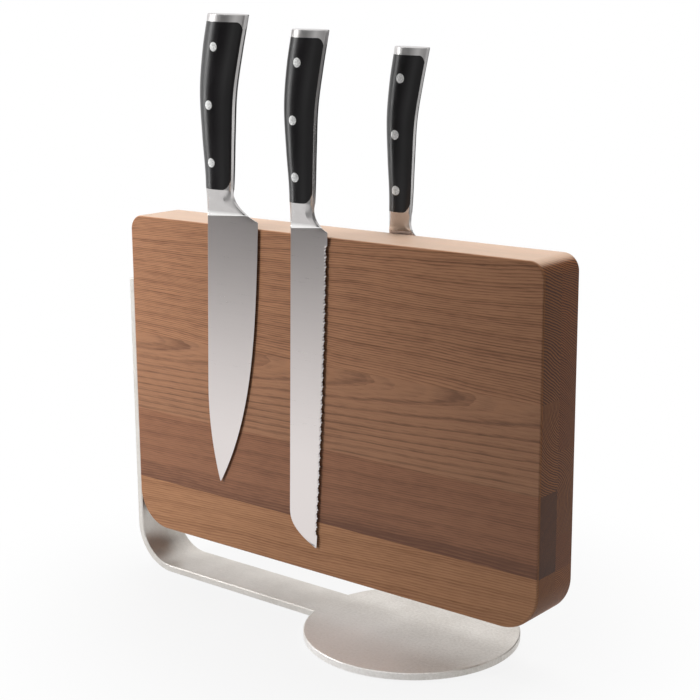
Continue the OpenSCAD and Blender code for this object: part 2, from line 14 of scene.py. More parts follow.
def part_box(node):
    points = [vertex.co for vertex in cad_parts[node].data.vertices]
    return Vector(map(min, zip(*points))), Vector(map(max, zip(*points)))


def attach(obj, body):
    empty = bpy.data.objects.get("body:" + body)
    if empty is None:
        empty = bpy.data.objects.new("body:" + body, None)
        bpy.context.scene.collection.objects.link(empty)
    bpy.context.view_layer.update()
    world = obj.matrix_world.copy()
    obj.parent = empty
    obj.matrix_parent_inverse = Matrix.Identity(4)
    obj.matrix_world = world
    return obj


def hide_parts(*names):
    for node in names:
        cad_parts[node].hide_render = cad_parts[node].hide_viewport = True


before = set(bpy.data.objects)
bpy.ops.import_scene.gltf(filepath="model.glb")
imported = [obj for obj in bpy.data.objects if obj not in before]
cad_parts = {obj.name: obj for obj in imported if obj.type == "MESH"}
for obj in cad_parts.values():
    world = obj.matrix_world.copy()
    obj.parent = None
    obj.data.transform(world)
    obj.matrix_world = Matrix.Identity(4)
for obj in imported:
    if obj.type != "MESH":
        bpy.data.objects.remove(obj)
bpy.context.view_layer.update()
MM = 0.001             # metres in a millimetre
WELD_GAP = 1e-6        # metres


def corner_mm(node):
    """The lowest and the highest corner of a CAD node, in millimetres."""
    low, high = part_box(node)
    return np.array(low) / MM, np.array(high) / MM


# -------- mesh making

def ring_faces(rows, cols):
    """Quads between neighbouring rings of a grid whose rings are closed, with both end rings filled."""
    i = np.arange(cols)
    j = np.arange(rows - 1)[:, None]
    n = (i + 1) % cols
    quads = np.stack([j * cols + i, j * cols + n, (j + 1) * cols + n, (j + 1) * cols + i], -1)
    last = (rows - 1) * cols
    return quads.reshape(-1, 4).tolist() + [list(range(cols - 1, -1, -1)), list(range(last, last + cols))]


def grid_faces(rows, cols, start=0):
    """Quads of an open grid whose first point has the number start."""
    i = np.arange(cols - 1)
    j = np.arange(rows - 1)[:, None] * cols + start
    return np.stack([j + i, j + i + 1, j + i + 1 + cols, j + i + cols], -1).reshape(-1, 4).tolist()


def inside_out(points, faces):
    """Whether a closed shell's enclosed volume comes out negative."""
    a, b, c = [], [], []
    for f in faces:
        a.extend([f[0]] * (len(f) - 2))
        b.extend(f[1:-1])
        c.extend(f[2:])
    p = points - points.mean(0)
    return np.einsum("ij,ij->", p[a], np.cross(p[b], p[c])) < 0


def piece(name, shells, material, body, replaces, sharp=30.0, weld=False):
    """Makes one object from closed shells, each (points in mm, faces), and lets it ride on its body. Edges
    that turn by more than sharp degrees stay sharp. weld joins shells that share a rim, and turns them
    outwards together."""
    points, faces = [], []
    for shell_points, shell_faces in shells:
        shell_points = np.asarray(shell_points, float).reshape(-1, 3)
        if not weld and inside_out(shell_points, shell_faces):
            shell_faces = [f[::-1] for f in shell_faces]
        start = sum(len(p) for p in points)
        points.append(shell_points)
        faces.extend([[v + start for v in f] for f in shell_faces])
    mesh = bpy.data.meshes.new(name)
    mesh.from_pydata((np.concatenate(points) * MM).tolist(), [], faces)
    if weld:
        bm = bmesh.new()
        bm.from_mesh(mesh)
        bmesh.ops.remove_doubles(bm, verts=bm.verts, dist=WELD_GAP)
        bmesh.ops.recalc_face_normals(bm, faces=bm.faces)
        bm.to_mesh(mesh)
        bm.free()
    mesh.shade_smooth()
    mesh.set_sharp_from_angle(angle=radians(sharp))
    mesh.materials.append(material)
    obj = bpy.data.objects.new(name, mesh)
    bpy.context.scene.collection.objects.link(obj)
    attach(obj, body)
    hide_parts(*replaces)


# -------- shader maths

class Value:
    """A socket that carries a number. Sums written with it add Math nodes."""

    def __init__(self, paint, socket):
        self.paint, self.socket = paint, socket

    def __add__(self, other):
        return self.paint.maths("ADD", self, other)

    __radd__ = __add__

    def __sub__(self, other):
        return self.paint.maths("SUBTRACT", self, other)

    def __rsub__(self, other):
        return self.paint.maths("SUBTRACT", other, self)

    def __mul__(self, other):
        return self.paint.maths("MULTIPLY", self, other)

    __rmul__ = __mul__

    def __truediv__(self, other):
        return self.paint.maths("DIVIDE", self, other)

    def __pow__(self, other):
        return self.paint.maths("POWER", self, other)

    def __abs__(self):
        return self.paint.maths("ABSOLUTE", self)


def linear(red, green, blue):
    """A colour given as it looks, 0 to 255, turned into the linear light that shaders take."""
    c = np.array([red, green, blue]) / 255
    return tuple(np.where(c <= 0.04045, c / 12.92, ((c + 0.055) / 1.055) ** 2.4)) + (1.0,)


class Paint:
    """One material, or the world: its nodes are made by node(), and the methods below it are short words
    for common ones."""

    def __init__(self, name, owner=None):
        self.owner = owner or bpy.data.materials.new(name)
        self.owner.use_nodes = True
        self.tree = self.owner.node_tree
        self.tree.nodes.clear()

    def node(self, kind, settings=None, sockets=None, out=0):
        """Adds a node of a type, with its settings first and then the values or links of its sockets. Gives
        the output that is asked for, where the node has one."""
        n = self.tree.nodes.new("ShaderNode" + kind)
        for key, value in (settings or {}).items():
            setattr(n, key, value)
        for key, value in (sockets or {}).items():
            if isinstance(value, Value):
                self.tree.links.new(value.socket, n.inputs[key])
            else:
                n.inputs[key].default_value = value
        return Value(self, n.outputs[out]) if n.outputs else None

    def maths(self, operation, *values):
        """A Math node on up to three numbers."""
        return self.node("Math", {"operation": operation}, dict(enumerate(values)))

    def place(self):
        """The point on the object in millimetres, as x, y and z."""
        at = self.node("TexCoord", out="Object")
        mm = self.node("VectorMath", {"operation": "SCALE"}, {0: at, "Scale": 1 / MM})
        return self.split(mm)

    def facing(self):
        """The direction that the surface faces, as x, y and z."""
        return self.split(self.node("TexCoord", out="Normal"))

    def split(self, vector):
        """The three numbers of a vector."""
        first = self.node("SeparateXYZ", None, {0: vector})
        return [Value(self, number) for number in first.socket.node.outputs]

    def join(self, x, y, z):
        """A vector, or a colour, from three numbers."""
        return self.node("CombineXYZ", None, {0: x, 1: y, 2: z})

    def noise(self, x, y, z, detail=2.0, rough=0.5):
        """Cloudy noise about 0.5. Its waves are as fine as the factors that x, y and z in mm come with."""
        return self.node("TexNoise", {"noise_dimensions": "3D"},
                         {"Vector": self.join(x, y, z), "Scale": 1.0, "Detail": detail, "Roughness": rough})

    def noise_on_line(self, w, detail):
        """The same along one number."""
        return self.node("TexNoise", {"noise_dimensions": "1D"},
                         {"W": w, "Scale": 1.0, "Detail": detail, "Roughness": 0.5})

    def ease(self, value, low, high, to_low=0.0, to_high=1.0):
        """Smooth step of a value from low to high."""
        sockets = {"Value": value, "From Min": low, "From Max": high, "To Min": to_low, "To Max": to_high}
        return self.node("MapRange", {"interpolation_type": "SMOOTHSTEP"}, sockets)

    def hump(self, value, start, full, fall, end):
        """Rises smoothly from 0 at start to 1 at full, and falls from fall to 0 at end."""
        return self.ease(value, start, full) * self.ease(value, end, fall)

    def mix(self, factor, a, b, how="MIX"):
        """Colours a and b mixed."""
        settings = {"data_type": "RGBA", "blend_type": how, "clamp_factor": True}
        return self.node("Mix", settings, {0: factor, 6: a, 7: b}, 2)

    def bump(self, height, distance):
        """Normal of a surface whose height, 0 to 1, spans a distance in millimetres."""
        return self.node("Bump", None, {"Height": height, "Distance": distance * MM, "Strength": 1.0})

    def ray(self, kind):
        """1 for rays of a kind, such as Glossy, and 0 for the others."""
        return self.node("LightPath", out="Is %s Ray" % kind)

    def sees_background(self):
        """1 for the rays that show the background: from the camera, off gloss and through glass."""
        return self.maths("MAXIMUM", self.ray("Camera"),
                          self.maths("MAXIMUM", self.ray("Glossy"), self.ray("Transmission")))

    def finish(self, **sockets):
        """Ends the material in a Principled shader; names have underscores for spaces."""
        named = {name.replace("_", " "): value for name, value in sockets.items()}
        return self.end(self.node("BsdfPrincipled", None, named))

    def end(self, shader, output="OutputMaterial"):
        """Leads a shader to the output."""
        self.node(output, None, {0: shader})
        return self.owner


# -------- finishes

LINE_SHARE = 0.62              # distance between lines as a share of a year's growth
FAR_WANDER = 12                # mm that the rings wander over a long stretch
SAW_WANDER = 0.35              # mm that the saw's tremor moves a line
YEAR_SPREAD = 1.5              # lines by which years crowd and spread
HEART_WAVE = 10                # mm that the rim of a dark heart waves
END_LIGHT, END_DARK = (196, 174, 138), (134, 114, 86)
# painted light: a highlight tone for the rounded edges, and a pale sheen tone for faces that look up
EDGE_HIGHLIGHT_TONE, TOP_SHEEN_TONE = (206, 146, 104), (224, 198, 176)


def beech(name, light, dark, pith, lean, ring, seed, lines=1.0, layers=(9.0, 0.0, 0.25), swirl=0.3,
          wander=1.0, heart=None, end_tone=1.0):
    """Beech that runs through a stave: year rings round a leaning pith make lines, arches and end grain.

    pith is its (y, z) at x = 0 in mm and lean its slopes along x, with a third number that fans the lines
    out with height; ring is the year's growth in mm. Each year darkens towards its end and stops short
    there, and so do broader layers (thickness in mm, phase, strength), which make the tongues of a board
    cut beside the pith. Fine fibres and short ray flecks run along x, and the end grain is darker. heart is
    a dark band (z where it is full, z where it has gone, strength)."""
    p = Paint(name)
    x, y, z = p.place()
    nx, ny, nz = p.facing()
    far = (p.noise(x * 0.006 + seed, y * 0.02, z * 0.02, 2.0) - 0.5) * (FAR_WANDER * wander)
    near = p.noise(x * 0.03, y * 0.12 + seed, z * 0.12, 3.0, 0.6) - 0.5
    saw = p.noise(x * 0.1, y * 0.55, z * 0.55 + seed, 1.0) - 0.5
    from_y = y - (x * lean[0] + pith[0]) + far
    from_z = z - x * (z * lean[2] + lean[1]) - pith[1] + far * 0.5
    radius = (from_y * from_y + from_z * from_z) ** 0.5 + near * (swirl * ring) + saw * SAW_WANDER
    crowding = p.noise_on_line(radius * (0.11 / ring) + seed, 2.0) - 0.5
    count = radius / (ring * LINE_SHARE) + crowding * YEAR_SPREAD
    late = p.hump(p.maths("FRACT", count), 0.1, 0.9, 0.9, 1.0)
    year = p.ease(p.noise_on_line(count * 0.6 + 3 * seed, 1.0), 0.3, 0.7, 0.65, 1.0)
    thick, phase, strength = layers
    layer = p.hump(p.maths("FRACT", radius / thick + phase), 0.45, 0.97, 0.975, 1.0)
    fibre = p.noise(x * 0.035, y * 1.6 + seed, z * 1.6, 4.0, 0.62)
    fleck = p.ease(p.noise(x * 0.22 + seed, y * 3.6, z * 3.6, 1.0), 0.60, 0.74)
    cloud = p.noise(x * 0.008, y * 0.03 + 2 * seed, z * 0.03, 3.0)
    end = p.ease(abs(nx), 0.45, 0.9)
    shade = (late * year * (end * 1.7 + 0.42 * lines) + layer * strength + (fibre - 0.5) * 1.2
             + (cloud - 0.5) * 0.45 + fleck * 0.15 + saw * 0.5 - end * 0.3)
    if heart:
        full, gone, depth = heart
        shade = shade + p.ease(z + near * HEART_WAVE, gone, full) * depth
    colour = p.mix(p.ease(shade, -0.2, 1.15), linear(*light), linear(*dark))
    open_grain = p.mix(late, *(linear(*(c * end_tone for c in tone)) for tone in (END_LIGHT, END_DARK)))
    colour = p.mix(end, colour, open_grain, "MULTIPLY")
    # painted highlight on the rounded edges between the faces
    colour = p.mix(p.hump(abs(ny), 0.1, 0.5, 0.8, 0.98) * 0.3, colour, linear(*EDGE_HIGHLIGHT_TONE))
    # painted sheen: faces that look up are made paler
    colour = p.mix(p.ease(nz, 0.6, 0.95) * 0.65, colour, linear(*TOP_SHEEN_TONE))
    rough = 0.46 + fibre * 0.12 - late * 0.05 + end * 0.14
    relief = p.bump(fibre * 0.7 - fleck * 0.5 - late * 0.25, 0.04)
    return p.finish(Base_Color=colour, Roughness=rough, Normal=relief, Specular_IOR_Level=0.42)


FOOT_GRAIN = (-30, 40)         # x in mm over which the leg's fine grain turns into the foot's specks
PAINTED_LIGHT_ALONG, PAINTED_LIGHT_ACROSS = (120, 10), (15, -55)    # mm over which painted light makes the foot paler towards its front


def brushed_plate(name):
    """Stainless plate with fine scratches along the strip, specks and painted light on the foot's front, a
    cloudy tone and a slightly rough satin sheen."""
    p = Paint(name)
    x, y, z = p.place()
    along = p.noise(x * 0.05, y * 6.0, z * 0.05, 3.0, 0.7)
    across = p.noise(x * 4.0, y * 0.25, z * 4.0, 2.0, 0.6)
    cloud = p.noise(x * 0.03, y * 0.03, z * 0.03, 3.0)
    grain = along * 0.6 + across * 0.4
    speck = p.noise(x * 0.5, y * 0.5, z * 0.5, 2.0, 0.7)
    on_foot = p.ease(x, *FOOT_GRAIN, 0.35, 1.0)
    tone = 0.5 + (grain - 0.5) * 0.4 + (speck - 0.5) * on_foot * 0.4 + (cloud - 0.5) * 0.4
    colour = p.mix(p.ease(tone, 0.3, 0.7), linear(196, 190, 182), linear(230, 226, 220))
    # painted light: the foot's front is made paler, mottled by the specks
    painted_front_light = p.ease(x + y * 0.8, *PAINTED_LIGHT_ALONG) * p.ease(y, *PAINTED_LIGHT_ACROSS) * on_foot
    colour = p.mix(painted_front_light * (0.55 + speck * 0.6), colour, linear(255, 252, 249))
    return p.finish(Base_Color=colour, Metallic=0.52, Roughness=0.24 + grain * 0.14 + cloud * 0.05,
                    Normal=p.bump(grain * 0.5 + speck * 0.5, 0.02))


BLADE_PAINTED_SHADE_Z = (230, 90)       # heights in mm between which painted shading on the blades turns from dark to light
CAP_PAINTED_SHINE_Z = (310, 400)       # heights over which a painted shine makes the polish brighter towards the caps
FOOT_HIGHLIGHT_BAND = (5, 2)             # mm above the bolster's foot between which its painted highlight band sets in


def ground_blade(name):
    """Blade steel ground crosswise: fine lines from spine to edge over painted shading along the blade,
    dark high up.
    """
    p = Paint(name)
    x, y, z = p.place()
    lines = p.noise(x * 0.05, y * 0.2, z * 4.0, 3.0, 0.7)
    broad = p.noise(x * 0.02, y * 0.05, z * 0.5, 2.0)
    # painted shading: the blade's colour is darker high up and lighter lower down
    tone = lines * 0.15 + broad * 0.1 + p.ease(z, *BLADE_PAINTED_SHADE_Z)
    colour = p.mix(tone, linear(207, 200, 198), linear(229, 222, 220))
    return p.finish(Base_Color=colour, Metallic=1.0, Roughness=0.25 + lines * 0.04 + broad * 0.03,
                    Normal=p.bump(lines, 0.0003))


def polished_steel(name, foot_z):
    """Polished forging: nearly a mirror, with a painted shine at the cap and a painted highlight in a band
    over the blade, where the bolster's foot stands at height foot_z, with faint haze and hairlines."""
    p = Paint(name)
    x, y, z = p.place()
    haze = p.noise(x * 0.2, y * 0.2, z * 0.2, 3.0)
    hair = p.noise(x * 3.0, y * 3.0, z * 0.4, 2.0, 0.7)
    # painted shine: the polish is made brighter towards the cap
    bright = p.ease(z, *CAP_PAINTED_SHINE_Z)
    colour = p.mix(haze * 0.3 + bright * 0.35, linear(192, 189, 188), linear(226, 224, 223))
    # painted highlight: a bright band just above the bolster's foot, in place of a fillet's light
    band = p.ease(z + haze, *(foot_z + h for h in FOOT_HIGHLIGHT_BAND))
    colour = p.mix(band * 0.85, colour, linear(252, 251, 250))
    rough = 0.21 + haze * 0.03 + hair * 0.04 + bright * 0.08
    return p.finish(Base_Color=colour, Metallic=1.0, Roughness=rough, Normal=p.bump(hair, 0.0006))


def black_scale(name):
    """Moulded satin black grip: very fine pebble, a little duller where hands rub it."""
    p = Paint(name)
    x, y, z = p.place()
    pebble = p.noise(x * 4.5, y * 4.5, z * 4.5, 2.0)
    worn = p.noise(x * 0.05, y * 0.05, z * 0.05, 3.0)
    colour = p.mix(p.ease(pebble * 0.5 + worn * 0.5, 0.3, 0.7), linear(6, 4, 6), linear(12, 9, 12))
    return p.finish(Base_Color=colour, Roughness=0.25 + worn * 0.1, Normal=p.bump(pebble, 0.010),
                    Specular_IOR_Level=0.52)


def ground_rivet(name):
    """Rivet heads ground flush: mottled light grey, with fine lines."""
    p = Paint(name)
    x, y, z = p.place()
    mottle = p.noise(x * 0.9, y * 0.9, z * 0.9, 3.0)
    lines = p.noise(x * 0.6, y, z * 7.0, 2.0)
    colour = p.mix(p.ease(mottle, 0.35, 0.65), linear(196, 196, 196), linear(232, 232, 230))
    return p.finish(Base_Color=colour, Metallic=0.6, Roughness=0.34 + mottle * 0.12 + lines * 0.08,
                    Normal=p.bump(lines * 0.5 + mottle * 0.5, 0.01))


def plain_metal(name, dark, light, rough):
    """Metal of a hidden or small piece: turned or rolled, with fine marks and a cloudy tone."""
    p = Paint(name)
    x, y, z = p.place()
    marks = p.noise(x * 2.0, y * 2.0, z * 2.0, 3.0, 0.6)
    cloud = p.noise(x * 0.1, y * 0.1, z * 0.1, 2.0)
    colour = p.mix(p.ease(marks * 0.5 + cloud * 0.5, 0.3, 0.7), linear(*dark), linear(*light))
    return p.finish(Base_Color=colour, Metallic=1.0, Roughness=rough + marks * 0.15,
                    Normal=p.bump(marks, 0.01))


def pad_rubber(name):
    """Matt black rubber with a dusty bloom."""
    p = Paint(name)
    x, y, z = p.place()
    bloom = p.noise(x * 0.6, y * 0.6, z * 0.6, 4.0)
    grit = p.noise(x * 8.0, y * 8.0, z * 8.0, 1.0)
    colour = p.mix(p.ease(bloom, 0.3, 0.75), linear(26, 26, 26), linear(52, 51, 49))
    return p.finish(Base_Color=colour, Roughness=0.72 + bloom * 0.15, Normal=p.bump(grit, 0.03))


# -------- wooden block

LAYER_EDGE_R = 1.5             # round along the edges of the two faces
TOP_R, BOTTOM_R = 11.0, 28.0   # round corners of the faces
QUARTER = 90                   # degrees
CORNER_STEPS, EDGE_STEPS = 24, 8
FACE_RIM = 0.6                 # support row that keeps a face flat beside its round edge
SAME = 1.0                     # heights nearer than this are the same
front_nodes = ["front_stave_%d" % (k + 1) for k in range(4)]
back_nodes = ["back_stave_%d" % (k + 1) for k in range(5)]
block_low = np.min([corner_mm(n)[0] for n in front_nodes + back_nodes], 0)
block_high = np.max([corner_mm(n)[1] for n in front_nodes + back_nodes], 0)
glue_y = corner_mm(front_nodes[1])[1][1]


def stave_outline(z0, z1):
    """The stave's outline in (x, z), counter-clockwise, with the inward normal of the block's outline at
    every point. A stave at the foot or the top of the block carries the block's round corners. At a joint
    the points move only along the joint when the outline is inset, because it is straight."""
    left, right = block_low[0], block_high[0]
    points, inward = [], []

    def quarter(cx, cz, r, a0):
        """Adds a round corner of radius r about (cx, cz) that starts at angle a0."""
        a = np.radians(np.linspace(a0, a0 + QUARTER, CORNER_STEPS + 1))
        points.extend(np.stack([cx + r * np.cos(a), cz + r * np.sin(a)], 1))
        inward.extend(np.stack([-np.cos(a), -np.sin(a)], 1))

    if z0 < block_low[2] + SAME:
        quarter(left + BOTTOM_R, z0 + BOTTOM_R, BOTTOM_R, 180)
        quarter(right - BOTTOM_R, z0 + BOTTOM_R, BOTTOM_R, 270)
    else:
        points.extend([[left, z0], [right, z0]])
        inward.extend([[1, 0], [-1, 0]])
    if z1 > block_high[2] - SAME:
        quarter(right - TOP_R, z1 - TOP_R, TOP_R, 0)
        quarter(left + TOP_R, z1 - TOP_R, TOP_R, 90)
    else:
        points.extend([[right, z1], [left, z1]])
        inward.extend([[-1, 0], [1, 0]])
    return np.array(points, float), np.array(inward, float)


def stave_shell(node, front):
    """The outline swept along a profile: straight up the side, a quarter round onto the face, and a little
    way in. The profile is an inset and a way out from the glue plane."""
    low, high = corner_mm(node)
    face_y = low[1] if front else high[1]
    side = -1 if front else 1
    depth = abs(face_y - glue_y)
    a = np.radians(np.linspace(0, QUARTER, EDGE_STEPS + 1))
    inset = np.concatenate([[0], LAYER_EDGE_R * (1 - np.cos(a)), [LAYER_EDGE_R + FACE_RIM]])
    out = np.concatenate([[0], depth - LAYER_EDGE_R * (1 - np.sin(a)), [depth]])
    outline, inward = stave_outline(low[2], high[2])
    at = outline[None] + inward[None] * inset[:, None, None]
    y = np.broadcast_to((glue_y + side * out)[:, None], at.shape[:2])
    points = np.stack([at[..., 0], y, at[..., 1]], -1)
    return points.reshape(-1, 3), ring_faces(len(inset), len(outline))


def make_block():
    """Nine boards, each with its own cut of beech: light and dark tone, the pith's (y, z), its slopes and
    fan, the year's growth, a seed, and what differs from the common board."""
    cut_beside_pith = dict(swirl=0.5, wander=0.3)
    boards = {
        "front_stave_1": ((176, 127, 90), (129, 84, 53), (70, -20), (0, 0.05, 0), 1.9, 1.3,
                          dict(lines=1.5)),
        "front_stave_2": ((149, 102, 74), (99, 62, 43), (60, 20), (0, 0.03, 0), 1.8, 2.7,
                          dict(lines=1.3, heart=(75, 92, 0.5), end_tone=0.84)),
        "front_stave_3": ((161, 116, 86), (103, 68, 48), (5, 184), (0.05, 0, 0), 2.4, 4.4,
                          dict(lines=0.7, layers=(4.25, 0.506, 0.5), end_tone=1.1, **cut_beside_pith)),
        "front_stave_4": ((167, 120, 88), (101, 64, 43), (-62, 100), (0, -0.26, 0.00112), 2.3, 6.1,
                          dict(lines=1.7)),
        "back_stave_1": ((178, 126, 87), (132, 84, 53), (-60, 0), (0, -0.04, 0), 1.9, 8.3, {}),
        "back_stave_2": ((165, 112, 81), (110, 69, 46), (-30, 140), (0, 0.03, 0), 2.0, 9.9, {}),
        "back_stave_3": ((167, 118, 86), (108, 70, 49), (-4, 118), (-0.05, 0, 0), 2.4, 11.2,
                         dict(lines=0.5, layers=(4.25, 0.1, 0.45), **cut_beside_pith)),
        "back_stave_4": ((163, 112, 81), (104, 66, 45), (-70, 90), (0, 0.05, 0), 2.0, 12.8, {}),
        "back_stave_5": ((172, 121, 88), (106, 66, 45), (-50, 130), (0, -0.04, 0), 2.4, 14.6,
                         dict(lines=1.3)),
    }
    for node in front_nodes + back_nodes:
        *cut, rest = boards[node]
        finish = beech("beech_" + node, *cut, **rest)
        piece(node.replace("stave", "board"), [stave_shell(node, node in front_nodes)], finish, "block",
              [node])


# -------- stand

PLATE_T, STRIP_W, BEND_R = 5.0, 39.0, 29.0
EDGE_BREAK = 0.6               # width of the broken edge all round
FLAT = 0.5                     # support row that keeps a flat face flat beside a broken edge
SCREW_HOLE_R, SCREW_SEAT_R, SCREW_SEAT_T = 3.2, 6.2, 3.1
FOOT_STEPS, BEND_STEPS, HOLE_STEPS = 240, 64, 64
WITHIN = 0.998                 # share of a hole's radius that only triangles inside the hole come within
MEET = 1e-5                    # mm
STRIP_PAD_END = -50            # the strip's own pad ends left of this x
HEAD_GAP = 0.2                 # from a screw's head to its seat
stand_low, stand_high = corner_mm("stand_plate")
FOOT_R = stand_high[1]
BEND_OUT_R = BEND_R + PLATE_T
BEND_X = stand_low[0] + BEND_OUT_R
LEG_TOP = stand_high[2] - EDGE_BREAK - FLAT


def strip_and_foot():
    """The flat part: the outline of the strip running into the circle of the foot, inset over the profile
    of a broken edge. The end that meets the bar stays open."""
    c, half, foot_x = EDGE_BREAK, STRIP_W / 2, foot_centre()
    insets = np.array([c + FLAT, c, 0, 0, c, c + FLAT])
    heights = stand_low[2] + np.array([0, 0, c, PLATE_T - c, PLATE_T, PLATE_T])
    rows = []
    for inset, height in zip(insets, heights):
        r, h = FOOT_R - inset, half - inset
        a = np.linspace(-pi + np.arcsin(h / r), pi - np.arcsin(h / r), FOOT_STEPS + 1)
        circle = np.stack([foot_x + r * np.cos(a), r * np.sin(a)], 1)
        outline = np.concatenate([[[BEND_X, -h]], circle, [[BEND_X, h]]])
        rows.append(np.column_stack([outline, np.full(len(outline), height)]))
    cols = len(rows[0])
    faces = ring_faces(len(rows), cols)
    return np.concatenate(rows), [f for k, f in enumerate(faces) if k % cols != cols - 1 or len(f) > 4]


def bar():
    """A broken-edged section carried round the bend and up the leg: across runs over the strip's width, and
    out over the thickness from the inner face to the outer. The end that meets the flat part stays open,
    and so do the leg's two faces, which leg_face() makes."""
    c, half = EDGE_BREAK, STRIP_W / 2
    across = np.array([c + FLAT - half, c - half, -half, -half, c - half, c + FLAT - half,
                       half - c - FLAT, half - c, half, half, half - c, half - c - FLAT])
    out = np.array([0, 0, c, PLATE_T - c, PLATE_T, PLATE_T, PLATE_T, PLATE_T, PLATE_T - c, c, 0, 0])
    r = BEND_R + out
    rows = [np.stack([BEND_X - r * sin(t), across, stand_low[2] + BEND_OUT_R - r * cos(t)], 1)
            for t in np.linspace(0, pi / 2, BEND_STEPS + 1)]
    top = stand_high[2] - c
    for height, inset in ((LEG_TOP, 0), (top, 0), (top + c, c)):
        y = np.clip(across, inset - half, half - inset)
        x = np.clip(out, inset, PLATE_T - inset)
        rows.append(np.stack([stand_low[0] + PLATE_T - x, y, np.full(len(out), height)], 1))
    cols = len(out)
    *sides, _, top_face = ring_faces(len(rows), cols)
    face_middles = (cols // 2 - 1, cols - 1)
    open_faces = [BEND_STEPS * cols + k for k in face_middles]
    return np.concatenate(rows), [f for f in sides if f[0] not in open_faces] + [top_face]


def leg_face(x, r, holes, turn):
    """One face of the leg at x: its outline with round holes of radius r, filled with triangles."""
    low, high = stand_low[2] + BEND_OUT_R, LEG_TOP
    side = STRIP_W / 2 - EDGE_BREAK - FLAT
    loops = [np.array([[-side, low], [side, low], [side, high], [-side, high]])]
    loops += [np.stack([y + r * np.cos(turn), z + r * np.sin(turn)], 1) for y, z in holes]
    starts = np.cumsum([0] + [len(loop) for loop in loops])
    edges = [(s + i, s + (i + 1) % (t - s)) for s, t in zip(starts, starts[1:]) for i in range(t - s)]
    points = [Vector(point) for point in np.concatenate(loops)]
    found, _, triangles, *_ = delaunay_2d_cdt(points, edges, [], 1, MEET)
    found = np.array([list(point) for point in found])
    middles = found[np.array(triangles)].mean(1)
    keep = np.all([np.hypot(*(middles - hole).T) > r * WITHIN for hole in holes], 0)
    return np.column_stack([np.full(len(found), x), found]), [list(t) for t, k in zip(triangles, keep) if k]


def screw_hole(place, turn):
    """The wall of one hole: a cone under the screw's head and a straight bore."""
    x = (stand_low[0] + np.array([0, SCREW_SEAT_T, PLATE_T]))[:, None]
    r = np.array([SCREW_SEAT_R, SCREW_HOLE_R, SCREW_HOLE_R])[:, None]
    y, z = place[0] + r * np.cos(turn), place[1] + r * np.sin(turn)
    wall = np.stack([np.broadcast_to(x, y.shape), y, z], -1)
    return wall.reshape(-1, 3), ring_faces(*y.shape)[:-2]


def make_stand():
    """One plate: strip and foot, bend and leg, and the leg's faces with the holes of the four screws."""
    turn = np.linspace(0, 2 * pi, HOLE_STEPS + 1)[:-1]
    holes = screw_places()
    shells = [strip_and_foot(), bar(), leg_face(stand_low[0], SCREW_SEAT_R, holes, turn),
              leg_face(stand_low[0] + PLATE_T, SCREW_HOLE_R, holes, turn)]
    shells += [screw_hole(place, turn) for place in holes]
    steel = brushed_plate("brushed_stand_steel")
    piece("stand_bar_and_foot", shells, steel, "block", ["stand_plate"], sharp=25, weld=True)


def foot_centre():
    """x of the round foot's centre: its four pads lie round it, right of the strip's pad."""
    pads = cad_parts["rubber_pads"].data.vertices
    x = np.array([v.co.x for v in pads]) / MM
    return (x.max() + x[x > STRIP_PAD_END].min()) / 2


def screw_places():
    """(y, z) of the four screws, from the CAD node's corners."""
    low, high = corner_mm("leg_screws")
    r = SCREW_SEAT_R - HEAD_GAP
    return np.array([[y, z] for z in (low[2] + r, high[2] - r) for y in (low[1] + r, high[1] - r)])


# -------- knives

class Knife:
    """Sizes of one forged knife in its own plane, in mm: u from spine to edge, w up from the bolster's
    foot. Slopes, powers, and the rivets' inset and pitch are shares; lean is in degrees."""

    def __init__(self, **sizes):
        self.__dict__.update(sizes)


CHEF = Knife(blade_l=195.2, blade_h=47, point_u=12, drop_l=75, drop_power=2.1, edge_slope=0.13,
             edge_power=3.4, grip_l=139.8, neck_w=23.2, flare=12.5, arch=5.4, grip_t=20, bolster_l=20.3,
             foot_rise=3.6, heel_drop=0, sweep_l=23, rivet_inset=0.157, rivet_pitch=0.283, toothed=False,
             lean=2.0)
BREAD = Knife(blade_l=224.1, blade_h=31.5, point_u=24, drop_l=25, drop_power=2.6, edge_slope=0.2,
              edge_power=2, grip_l=131.9, neck_w=19.8, flare=10.2, arch=4.9, grip_t=17.8, bolster_l=18.4,
              foot_rise=2.6, heel_drop=0, sweep_l=16, rivet_inset=0.161, rivet_pitch=0.285, toothed=True,
              lean=1.4)
SLICER = Knife(blade_l=200, blade_h=29, point_u=7, drop_l=60, drop_power=2.2, edge_slope=0.1,
               edge_power=4, grip_l=123, neck_w=17.9, flare=9.7, arch=3.8, grip_t=15.4, bolster_l=14,
               foot_rise=1.5, heel_drop=5, sweep_l=14, rivet_inset=0.166, rivet_pitch=0.301, toothed=False,
               lean=1.9)

BLADE_T, TANG_T, CAP_L, CAP_ROUND = 2.6, 2.6, 5.2, 0.7
CAP_RIM = 0.3                  # support row inside the cap's end
SCALE_FOOT_CORNER, SCALE_CAP_CORNER, SCALE_GAP = (3.4, 7.6), (3.0, 5.4), 0.05
CORNER_TURN = 80               # degrees of the quarter that rounds a scale's corner
SCALE_ROUND = 0.25             # broken edge round a scale's ends
SCALE_ROWS, SCALE_COLS = 70, (30, 34, 12)
RIM_SHARES = (0, 0.2, 0.56, 1)                 # rows in the broken edge, as shares of it
BOLSTER_ROWS, TANG_ROWS, CAP_ROWS, ROUND_ROWS = 44, 46, 12, 7
BLADE_ROWS, HEEL_ROWS = 60, 10
FOOT_CROWDING, POINT_CROWDING = 1.6, 1.4       # powers that draw rows together at the foot and the point
RIVET_R, RIVET_PAIRS, RIVET_STEPS = 3.2, 3, 48
TOOTH_PITCH, TOOTH_DEPTH, SMALL_SHARE = 6.4, 1.7, 0.4
SMALL_TEETH = 3                # small arcs in each tooth
TOOTH_START, TOOTH_END, TOOTH_STEPS = 10.2, 8.5, 18
